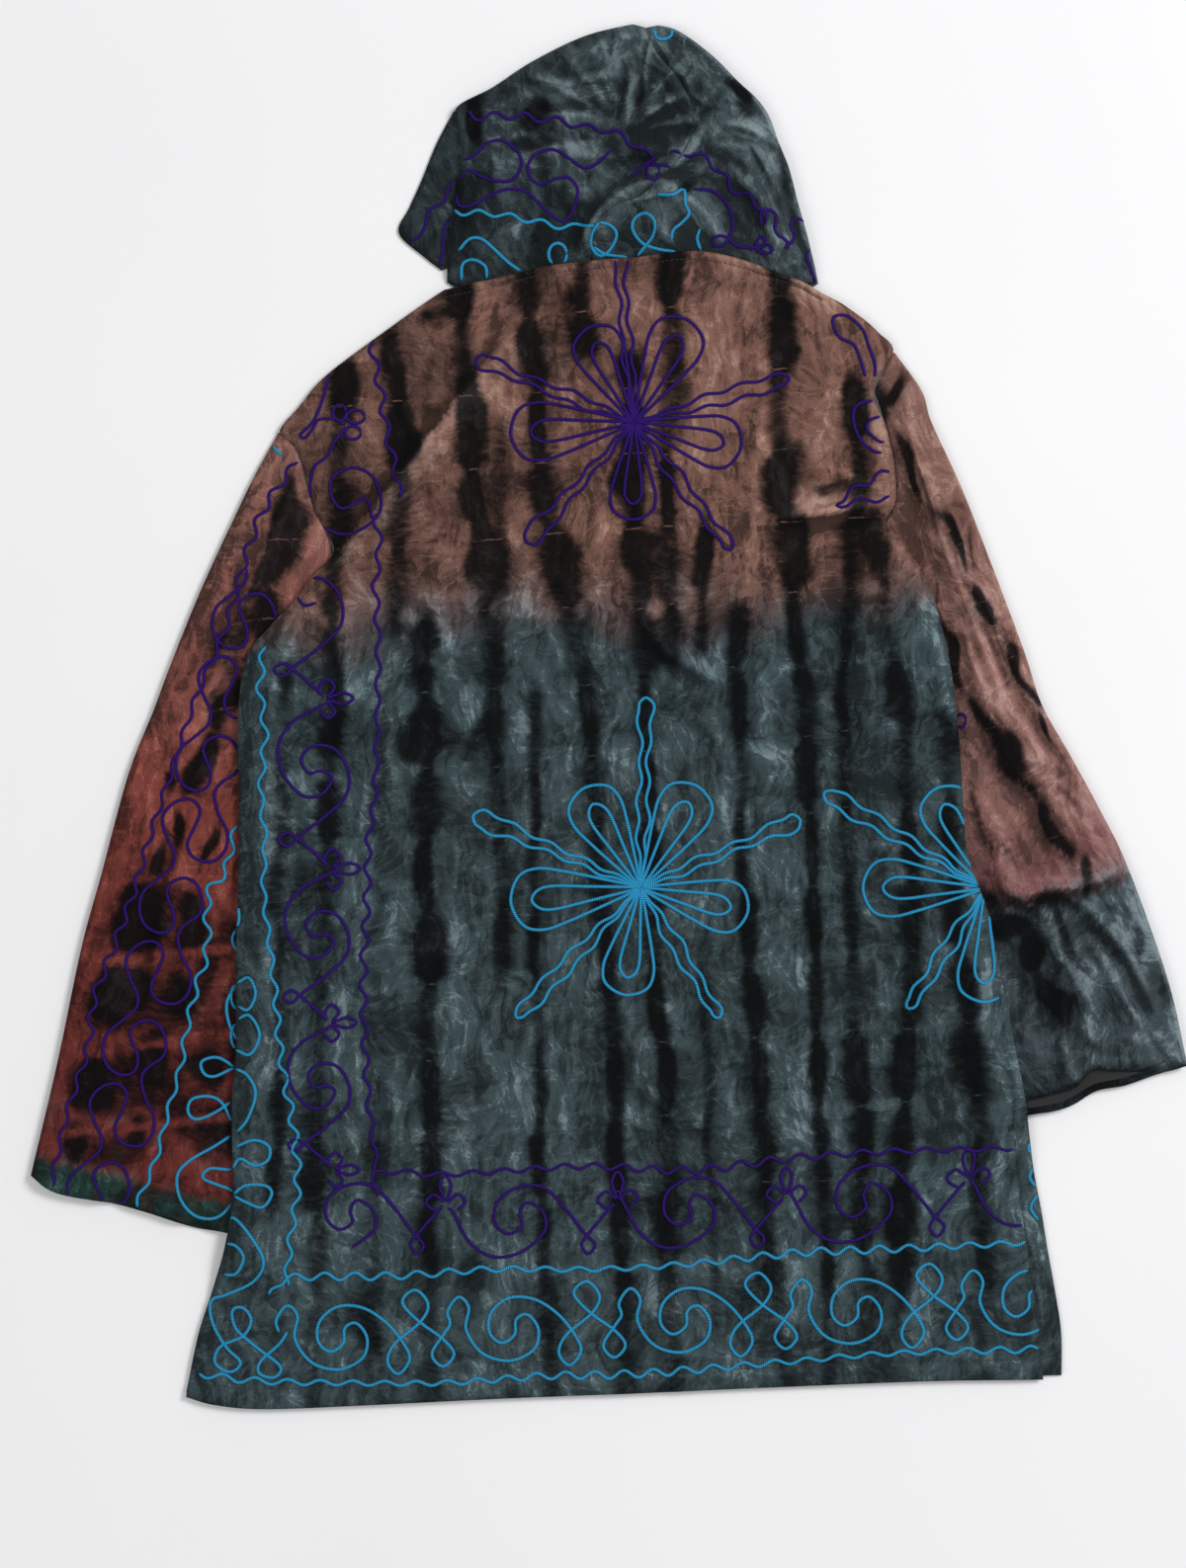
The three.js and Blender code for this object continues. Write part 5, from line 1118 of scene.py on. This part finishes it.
def petal(centre, tip):
    """The outer loop and the inner loop of one petal."""
    centre, reach = np.array(centre, float), np.subtract(tip, centre)
    side = np.array([-reach[1], reach[0]])
    loops = []
    for half, end in ((PETAL, 1.0), (PETAL_INSIDE, 0.84)):
        line = half + [(end, 0)] + [(s, -w) for s, w in half[::-1]]
        loops.append([centre + reach * s + side * w for s, w in line])
    return loops


def ray(centre, tip, seed):
    """A pair of wavy lines side by side from the centre, closed by a small loop at the tip."""
    centre, reach = np.array(centre, float), np.subtract(tip, centre)
    length = np.linalg.norm(reach)
    side = np.array([-reach[1], reach[0]]) / length
    s = np.linspace(0.01, 1, 40)
    gap = 0.5 + 3.3 * smooth(s / 0.45) + 1.5 * smooth((s - 0.7) / 0.2)
    gap = gap * (1 + 0.3 * np.sin(7 * s + 1.7 * seed))
    gap = gap * np.sqrt(np.clip(1 - ((s - 0.94) / 0.06).clip(0) ** 2, 0, 1))
    wave = 1.5 * smooth(s / 0.25) * np.sin(2 * math.pi * s * length / 29 + seed) * smooth((1 - s) / 0.1)
    there = [centre + reach * a + side * (w + g) for a, w, g in zip(s, wave, gap)]
    back = [centre + reach * a + side * (w - g) for a, w, g in zip(s, wave, gap)]
    return there + back[-2::-1]


def wavy(line, seed=0.0):
    """A line drawn as small even waves."""
    p = spline(line, max(8, int(np.linalg.norm(np.diff(np.asarray(line, float), axis=0), axis=1).sum() / 3)))
    along = np.gradient(p, axis=0)
    along /= np.linalg.norm(along, axis=1, keepdims=True)
    run = np.concatenate([[0], np.cumsum(np.linalg.norm(np.diff(p, axis=0), axis=1))])
    sway = WAVE_REACH * (1 + 0.25 * np.sin(run / 57 + seed)) * np.sin(
        2 * math.pi * (run + 4 * np.sin(run / 71 + seed)) / WAVE_LENGTH + seed)
    return p + np.stack([-along[:, 1], along[:, 0]], 1) * sway[:, None]


def unit(points, start, scale=1.0, down=False):
    """A repeat of a pattern set down at start; down turns it to run towards the hem instead of to the right."""
    p = np.array(points, float) * scale
    if down:
        p = np.stack([p[:, 1], -p[:, 0]], 1)
    return (p + start).tolist()


def ring_line(at, wide, tall=None):
    """A small closed loop."""
    turn = np.linspace(0.1, 2 * math.pi + 0.05, 14)
    return np.stack([at[0] + wide * np.cos(turn), at[1] + (tall or wide) * np.sin(turn)], 1).tolist()


def cord_material(name, deep, bright):
    """Twisted thread: its own colour along each ply and a painted shade, deep, between them."""
    material, end = finish(name)
    run = end.node("ShaderNodeAttribute", {"attribute_name": "run"}, out="Fac")
    around = end.node("ShaderNodeAttribute", {"attribute_name": "around"}, out="Fac")
    turn = run * (2 * math.pi / CORD_TWIST) + around * (2 * math.pi)
    ply = abs(turn.math("SINE", turn))
    fibre = place(end).cloud(0.9, 3, 0.7)
    # Painted shade between the plies, where the bump makes grooves.
    colour = (ply.rise(0.1, 0.75) * 0.8 + fibre * 0.35).mix(deep, bright)
    join(end, end.node("ShaderNodeBsdfPrincipled", {}, {
        "Base Color": colour, "Roughness": 0.7, "Specular IOR Level": 0.12,
        "Normal": end.node("ShaderNodeBump", {}, {"Strength": 0.7, "Distance": 0.0005,
                                                  "Height": ply.rise(0, 0.8) + fibre * 0.3})}))
    return material


purple = cord_material("purple_cord", PURPLE_PLY_SHADE, PURPLE)
turquoise = cord_material("turquoise_cord", TURQUOISE_PLY_SHADE, TURQUOISE)
cloths = {cloth.name: cloth for cloth in (back, front_left, front_right, sleeve_left, sleeve_right, hood_left,
                                          hood_right, flap)}
tops = {name: Surface(cloth) for name, cloth in cloths.items()}


def sew(name, lines, cloth, material):
    """Cords along lines, on the parts of a piece of cloth that nothing covers."""
    on, others = tops[cloth], [top for key, top in tops.items() if key != cloth]
    points, faces, run_marks, around_marks = [], [], [], []
    turn = 2 * math.pi * (np.arange(CORD_SIDES) + 0.5) / CORD_SIDES - math.pi / 2
    for line in lines:
        length = np.linalg.norm(np.diff(np.asarray(line, float), axis=0), axis=1).sum()
        p = spline(line, max(4, int(length / CORD_STEP)))
        x, y = p[:, 0], p[:, 1]
        z = on.heights(x, y, misses=NOWHERE)
        cover = np.max([top.heights(x, y, misses=NOWHERE) for top in others], axis=0)
        kept = (z > NOWHERE) & (cover < z + COVERED_BY)
        cuts = np.flatnonzero(np.diff(np.concatenate([[False], kept, [False]]).astype(int)))
        for first, last in zip(cuts[::2], cuts[1::2]):
            if last - first < 4:
                continue
            q, high = p[first:last], z[first:last]
            along = np.gradient(q, axis=0)
            along /= np.maximum(np.linalg.norm(along, axis=1, keepdims=True), 1e-9)
            side = np.stack([-along[:, 1], along[:, 0]], 1)
            left, right = (on.heights(q[:, 0] + step * side[:, 0], q[:, 1] + step * side[:, 1], misses=NOWHERE)
                           for step in (CORD_WIDE / 2, -CORD_WIDE / 2))
            tilt = np.where((left > NOWHERE) & (right > NOWHERE), (left - right) / CORD_WIDE, 0).clip(-1.2, 1.2)
            start = len(points)
            reach = np.concatenate([[0], np.cumsum(np.linalg.norm(np.diff(q, axis=0), axis=1))])
            for k in range(len(q)):
                small = 0.45 if k in (0, len(q) - 1) else 1.0
                flat, rise = 0.5 * CORD_WIDE * small * np.cos(turn), 0.5 * CORD_HIGH * small * np.sin(turn)
                for f, r, angle in zip(flat, rise, turn):
                    points.append((q[k, 0] + side[k, 0] * f, q[k, 1] + side[k, 1] * f,
                                   high[k] + CORD_ABOVE + r + f * tilt[k]))
                    run_marks.append(reach[k])
                    around_marks.append((angle + math.pi / 2) / (2 * math.pi))
            rings = start + np.arange(len(q) * CORD_SIDES).reshape(len(q), CORD_SIDES)
            for near, far in zip(rings, rings[1:]):
                for c in range(CORD_SIDES):
                    d = (c + 1) % CORD_SIDES
                    faces.append([near[c], far[c], far[d], near[d]])
            faces += [list(rings[0]), list(rings[-1][::-1])]
    made = piece(name, points, [[int(i) for i in face] for face in faces], material)
    for key, values in (("run", run_marks), ("around", around_marks)):
        made.data.attributes.new(key, "FLOAT", "POINT").data.foreach_set("value", values)
    made.data.polygons.foreach_set("use_smooth", [True] * len(made.data.polygons))
    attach(made, "jacket")


# The back: flowers.
flower = (1, -124)
lines = [loop for tip in ((-33, -53), (41, -47), (81, -142), (0, -196), (-91, -132)) for loop in petal(flower, tip)]
lines += [ray(flower, tip, k) for k, tip in enumerate([(-117, -76), (-79, -213), (117, -90), (74, -218), (-12, 22)])]
sew("flower_purple", lines, "back_cloth", purple)
flower = (6, -471)
lines = [loop for tip in ((-37, -397), (48, -395), (86, -489), (-6, -551), (-91, -482)) for loop in petal(flower, tip)]
lines += [ray(flower, tip, k) for k, tip in enumerate([(10, -329), (-119, -417), (-87, -568), (65, -568), (125, -420)])]
flower = (263, -471)
lines += [loop for tip in ((226, -397), (172, -471), (262, -556)) for loop in petal(flower, tip)]
lines += [ray(flower, tip, k + 9) for k, tip in enumerate([(143, -400), (205, -561)])]
sew("flowers_turquoise", lines, "back_cloth", turquoise)

# The back: the purple vine down the left side and along the hem, between wavy lines.
VINE = [  # one repeat, from one bud to the next
    (0, 11.5), (3.8, 8.2), (16.6, -15.3), (34.4, -26.8), (54.8, -24.2), (71.3, -10.7), (70.6, 3.8), (58.9, 12),
    (53.3, 4.6), (54.8, -5.1), (44.6, -10.4), (34.9, -1.3), (36.9, 14), (52.2, 23.7), (70.6, 22.4), (85.9, 7.1),
    (101.2, -13.3), (109.1, -22.2), (104.2, -29), (99.1, -22.2), (103.2, -15.3), (115.4, -1.3), (123.6, 7.6),
    (119, 3.6), (110.8, 10.2), (117.2, 16.3), (125.1, 10.7), (121.5, 22.9), (125.6, 30.6), (130, 22.9),
    (127.2, 10.7), (135.1, 16.3), (140.9, 10.7), (134.8, 4.1),
]
VINE_LENGTH = 126
HEM_BUDS = [(-138, -710), (-11, -702), (115, -698), (251, -687)]
SIDE_BUDS = [(-228, -330), (-224, -457), (-224, -572), (-221, -682)]
lines = []
lines.append(unit(VINE, (-263, -716), 0.98)[4:])
for (x0, y0), (x1, y1) in zip(HEM_BUDS, HEM_BUDS[1:]):
    lines.append([(px, py + (y1 - y0) * (px - x0) / VINE_LENGTH)
                  for px, py in unit(VINE, (x0, y0 - 12), (x1 - x0) / VINE_LENGTH)])
lines.append(unit(VINE, (251, -699), 0.9)[:6])
for bud, next_bud in zip([(-232, -206), *SIDE_BUDS], SIDE_BUDS):
    grown = (bud[1] - next_bud[1]) / VINE_LENGTH
    lines.append([(px + (next_bud[0] - bud[0]) * (bud[1] - py) / (bud[1] - next_bud[1]), py)
                  for px, py in unit(VINE, (bud[0] - 10, bud[1]), grown, down=True)])
lines[-4] = lines[-4][8:]
lines.append([(-227, -87), (-232, -107), (-239, -123), (-248, -132), (-245, -135), (-239, -128), (-234, -121),
              (-221, -121), (-215, -125)])
lines += [ring_line((-219, -116), 5, 6), ring_line((-207, -119), 7, 5), ring_line((-209, -131), 6, 5)]
lines.append([(-215, -127), (-223, -138), (-228, -148), (-238, -157), (-241, -171), (-238, -190), (-228, -203),
              (-213, -207), (-199, -202), (-189, -192), (-188, -178), (-195, -163), (-209, -157), (-223, -163),
              (-226, -175), (-219, -187), (-209, -185), (-202, -180), (-196, -185), (-195, -196)])
lines.append(wavy([(-196, -60), (-189, -95), (-183, -132), (-175, -169), (-173, -180)], 1))
lines.append(wavy([(-191, -192), (-189, -221), (-192, -243), (-190, -280), (-190, -324), (-192, -398), (-197, -435),
                   (-198, -472), (-201, -546), (-198, -620), (-194, -657), (-191, -684)], 2))
lines.append(wavy([(-191, -702), (-194, -690), (-184, -683), (-141, -685), (-89, -682), (-30, -679), (44, -682),
                   (118, -673), (192, -668), (290, -665)], 3))
sew("vine_purple", lines, "back_cloth", purple)

# The back: the turquoise band of loops along the hem and its wavy lines.
LOOPS = [  # one repeat: a spiral, then two crossed loops
    (-6.4, 3.1), (-8.2, 12.7), (0, 22.9), (7.6, 14.5), (5.6, -2), (17.8, -20.4), (38.2, -27), (56.1, -19.4),
    (59.6, -4.6), (51.5, 6.9), (42.8, 3.6), (41.8, -7.6), (31.9, -13.3), (22.9, -4.6), (24.5, 10.2), (38.2, 20.1),
    (57.3, 17.8), (75.2, 5.1), (88.2, -12.2), (91.2, -22.9), (82.8, -32.6), (74.9, -22.9), (80.3, -9.7),
    (99.4, 5.6), (105.2, 18.3), (95.8, 29.6), (85.9, 21.4), (97.3, 6.9), (116.7, -8.4), (124.6, -19.9),
    (116.2, -28.5), (108, -18.9), (116.7, -4.6),
]
LOOPS_LENGTH, LOOPS_RISE = 128, 6.5
LOOPS_START, LOOPS_REPEATS = (-258, -806), 5
rising = [(px, py + px * LOOPS_RISE / LOOPS_LENGTH) for px, py in LOOPS]
lines = [[point for k in range(LOOPS_REPEATS)
          for point in unit(rising, (LOOPS_START[0] + k * LOOPS_LENGTH, LOOPS_START[1] + k * LOOPS_RISE))]]
lines.append([(-306, -729), (-299, -717), (-286, -729), (-275, -749), (-283, -765), (-303, -775), (-315, -780),
              (-314, -796), (-304, -814), (-293, -826), (-301, -833), (-312, -826), (-308, -814), (-291, -806),
              (-285, -794), (-291, -785), (-299, -787), (-296, -801), (-279, -816), (-263, -829), (-268, -837),
              (-279, -834), (-278, -825), (-264, -812), (-258, -803)])
lines.append([(-307, -736), (-296, -738), (-290, -747), (-296, -759), (-305, -760)])
lines.append([(-294, -486), (-294, -497), (-299, -509), (-294, -518)])
lines.append([(-296, -606), (-287, -611), (-281, -624), (-287, -643), (-295, -653)])
lines.append([(-295, -542), (-286, -538), (-281, -550), (-287, -562), (-296, -558)])
lines.append([(-296, -570), (-286, -566), (-278, -580), (-285, -595), (-296, -592)])
lines.append([(-296, -664), (-282, -659), (-271, -664), (-272, -674), (-282, -678), (-293, -673), (-299, -682)])
lines.append([(-299, -701), (-289, -693), (-274, -693), (-269, -699), (-276, -709), (-289, -705), (-299, -700)])
lines.append(wavy([(-275, -291), (-278, -324), (-274, -354), (-277, -398), (-274, -435), (-275, -472), (-270, -517),
                   (-266, -554), (-263, -591), (-258, -620), (-252, -657), (-250, -694), (-255, -731),
                   (-259, -768)], 1.5))
lines.append(wavy([(-270, -776), (-264, -767), (-252, -762), (-178, -761), (-104, -756), (-30, -756), (44, -752),
                   (118, -744), (192, -741), (300, -736)], 0.4))
lines.append(wavy([(-324, -834), (-289, -839), (-229, -841), (-141, -841), (-67, -836), (7, -834), (118, -825),
                   (192, -819), (303, -816)], 2.2))
sew("loops_turquoise", lines, "back_cloth", turquoise)

# The back, beside the right armhole, where a third flower is cut off by the seam.
lines = [[(181, -89), (181, -79), (176, -65), (172, -54), (161, -44), (151, -44), (150, -51), (155, -60), (165, -65),
          (170, -76), (174, -89)],
         [(186, -106), (168, -110), (165, -122), (170, -136), (180, -145), (186, -146)],
         [(187, -118), (177, -122), (175, -129), (183, -137), (188, -138)],
         wavy([(192, -160), (178, -166), (167, -173), (154, -182), (152, -186), (160, -184), (175, -182),
               (192, -180)], 2)]
sew("armhole_purple", lines, "back_cloth", purple)

# The left sleeve: a purple meander between wavy lines, and turquoise loops beside the body.
MEANDER = [
    (0, 0), (-2.1, -9.6), (-12.7, -19.1), (-23.4, -28.7), (-26.1, -42.5), (-21.2, -54.1), (-10.6, -59),
    (-2.1, -55.2), (-0.4, -44.6), (-4.2, -35), (-5.9, -27.6), (-2.1, -21.2), (7.4, -18), (15.9, -22.3),
    (20.8, -35), (18, -45.7), (7.4, -53.1), (2.5, -61.6), (5.3, -76.4), (11.7, -89.2), (11, -101.9),
    (4.2, -110.4), (-4.2, -112.1), (-13.8, -108.3), (-17.6, -98.7), (-12.7, -87.1), (-8.5, -76.4), (-9.6, -70.1),
    (-15.9, -65.4), (-25.5, -66.9), (-34, -74.3), (-36.1, -82.8), (-31.9, -95.6),
]
MEANDER_MIDDLE, MEANDER_STEP = (-342, -445.7), (-27.2, -106.2)
lines = [[point for k in range(-2, 3) for point in unit(
    MEANDER, (MEANDER_MIDDLE[0] + k * MEANDER_STEP[0], MEANDER_MIDDLE[1] + k * MEANDER_STEP[1]))]]
lines.append(wavy([(-249, -149), (-280, -198), (-305, -280), (-327, -332), (-344, -383), (-361, -435), (-372, -472),
                   (-388, -517), (-402, -554), (-407, -591), (-423, -642), (-434, -694)], 0.7))
sew("meander_purple", lines, "sleeve_left_cloth", purple)
lines = [wavy([(-295, -418), (-304, -457), (-317, -476), (-318, -517), (-326, -546), (-333, -576), (-337, -602),
               (-343, -624), (-350, -650), (-357, -676), (-371, -709)], 0.3)]
lines += [ring_line((-291, -552), 9, 12), ring_line((-289, -582), 11, 13)]
lines.append([(-293, -486), (-294, -497), (-299, -509), (-296, -518)])
lines.append([(-295, -542), (-303, -556), (-302, -571), (-296, -584)])
lines.append([(-296, -606), (-310, -598), (-322, -601), (-320, -610), (-312, -612), (-297, -606), (-287, -611),
              (-281, -624), (-287, -643), (-295, -653), (-306, -633), (-316, -627), (-329, -629), (-332, -638),
              (-326, -644), (-312, -639), (-293, -626)])
lines.append([(-295, -653), (-312, -664), (-331, -675), (-340, -686), (-338, -703), (-327, -716), (-312, -718),
              (-301, -709), (-299, -698), (-308, -694), (-321, -688), (-316, -681), (-299, -681), (-291, -669),
              (-282, -659)])
lines.append([(-299, -701), (-289, -693), (-274, -693)])
lines.append([(-272, -134), (-268, -142), (-262, -148)])
sew("sleeve_left_turquoise", lines, "sleeve_left_cloth", turquoise)
sew("sleeve_right_purple", [ring_line((245.5, -346), 3.6, 5)], "sleeve_right_cloth", purple)
sew("side_turquoise", [wavy([(300, -655), (298, -672), (300, -690), (301, -720)], 1)], "front_right_cloth", turquoise)

# The hood: purple above and turquoise below, on both panels, broken by the folds.
purple_left = [
    wavy([(-124, 107), (-113, 104), (-95, 105), (-77, 103), (-52, 100), (-38, 96), (-25, 95), (-11, 91), (0, 84),
          (15, 74)], 1),
    [(-128, 72), (-118, 76), (-109, 84), (-97, 86), (-86, 78), (-83, 67), (-90, 57), (-102, 56), (-113, 60),
     (-122, 65), (-128, 60), (-131, 49), (-130, 39), (-122, 38), (-109, 44), (-95, 50), (-81, 49), (-72, 42),
     (-63, 33), (-52, 26), (-44, 35), (-41, 49), (-47, 58), (-56, 58), (-68, 54), (-76, 58), (-78, 67), (-72, 76),
     (-59, 79), (-47, 72), (-36, 66), (-27, 69), (-16, 79)],
    [(-2, 60), (8, 68), (18, 74)],
]
turquoise_left = [
    wavy([(-133, 35), (-115, 32), (-102, 32), (-90, 29), (-72, 26), (-61, 23), (-45, 22), (-34, 23), (-25, 24)], 2),
    [(-25, 24), (-16, 22), (-12, 15), (-18, 4), (-25, 1), (-31, 8), (-30, 17), (-25, 24)],
    [(-29, 7), (-20, 2), (-4, 0)], [(-130, 5), (-122, 13), (-113, 13), (-102, 4), (-93, -4), (-84, -10)],
    [(-128, -17), (-127, -5), (-119, -2), (-110, -7), (-109, -16)], ring_line((-56, 2), 6.8, 8),
]
purple_right = [
    wavy([(28, 75), (45, 75), (59, 69), (68, 58), (79, 47), (93, 38), (104, 30), (110, 17), (115, 5)], 0.5),
    wavy([(115, 5), (119, 11), (118, 22), (125, 27), (132, 26)], 0.5),
    [(45, 50), (59, 49), (68, 42), (74, 31), (74, 19), (68, 9), (61, 8), (60, 13), (68, 15), (79, 8), (93, 7),
     (99, 11), (95, 15), (92, 8), (97, 3), (104, 4), (101, 9), (94, 6)],
    [(96, 22), (95, 29), (97, 34), (100, 31), (99, 24)], [(134, 10), (130, 1), (132, -5), (137, -18)],
    ring_line((15, 62), 5, 7), [(8, 68), (26, 66), (30, 58)],
]
turquoise_right = [
    [(2, -1), (7, 5), (15, 15), (16, 25), (9, 31), (1, 27), (0, 19), (7, 10), (18, 6), (32, 4)],
    [(18, 44), (30, 44), (38, 49), (39, 38), (42, 31), (36, 24), (30, 19), (29, 12)],
    [(50, 20), (48, 13), (51, 5)], [(16, 171), (18, 164), (24, 163), (29, 166), (29, 171)],
]
sew("hood_left_purple", purple_left + purple_right, "hood_left_cloth", purple)
sew("hood_right_purple", purple_right + purple_left, "hood_right_cloth", purple)
sew("hood_left_turquoise", turquoise_left + turquoise_right, "hood_left_cloth", turquoise)
sew("hood_right_turquoise", turquoise_right + turquoise_left, "hood_right_cloth", turquoise)
sew("hood_edge_purple", [[(-132, 57), (-138, 52), (-141, 42), (-152, 36), (-155, 24), (-160, 16), (-165, 13)],
                         [(-137, 30), (-141, 22), (-142, 6), (-144, -6)]], "hood_left_edge", purple)

# ---------------------------------------------------------------- Sewn lines
# The lockstitches that hold the turned hem and the neck edge, of dark sewing thread. Each shows as a short bar
# that dips into the velvet at both ends. They lie on the back.
STITCH, STITCH_GAP = 2.6, 1.0
STITCH_THICK = 0.6

sewing_thread, end = finish("sewing_thread")
fuzz = place(end).cloud(0.5, 2)
join(end, end.node("ShaderNodeBsdfPrincipled", {}, {
    "Base Color": fuzz.mix(srgb(16, 18, 20), srgb(48, 54, 58)), "Roughness": 0.7}))


def stitches(name, line, cloth):
    """A row of stitches along a line on a piece of cloth."""
    on = tops[cloth]
    length = np.linalg.norm(np.diff(np.asarray(line, float), axis=0), axis=1).sum()
    stops = spline(line, 2 * int(length / (STITCH + STITCH_GAP)))
    points, faces = [], []
    for a, b in zip(stops[::2], stops[1::2]):
        way = (b - a) / np.linalg.norm(b - a)
        side = np.array([-way[1], way[0]]) * STITCH_THICK / 2
        b = a + way * STITCH
        z = on.heights(np.array([a[0], b[0]]), np.array([a[1], b[1]]), misses=NOWHERE)
        if z.min() == NOWHERE:
            continue
        start = len(points)
        for share, lift, thick in ((0, -0.1, 0.5), (0.25, 0.28, 1), (0.75, 0.28, 1), (1, -0.1, 0.5)):
            at, level = a * (1 - share) + b * share, z[0] * (1 - share) + z[1] * share + lift
            points += [(*(at - side * thick), level - 0.15), (*(at + side * thick), level - 0.15),
                       (*(at + side * thick * 0.6), level + 0.18), (*(at - side * thick * 0.6), level + 0.18)]
        faces += bar_faces(start)
    made = piece(name, points, faces, sewing_thread)
    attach(made, "jacket")
    return made


hem_stitches = stitches("hem_stitches", [(x, y + HEM_TURN) for x, y in HEM_LINE[:-1]] + [(305, -839 + HEM_TURN)],
                        "back_cloth")
neck_stitches = stitches("neck_stitches", [(x, y - NECK_TURN) for x, y in NECK_LINE], "back_cloth")
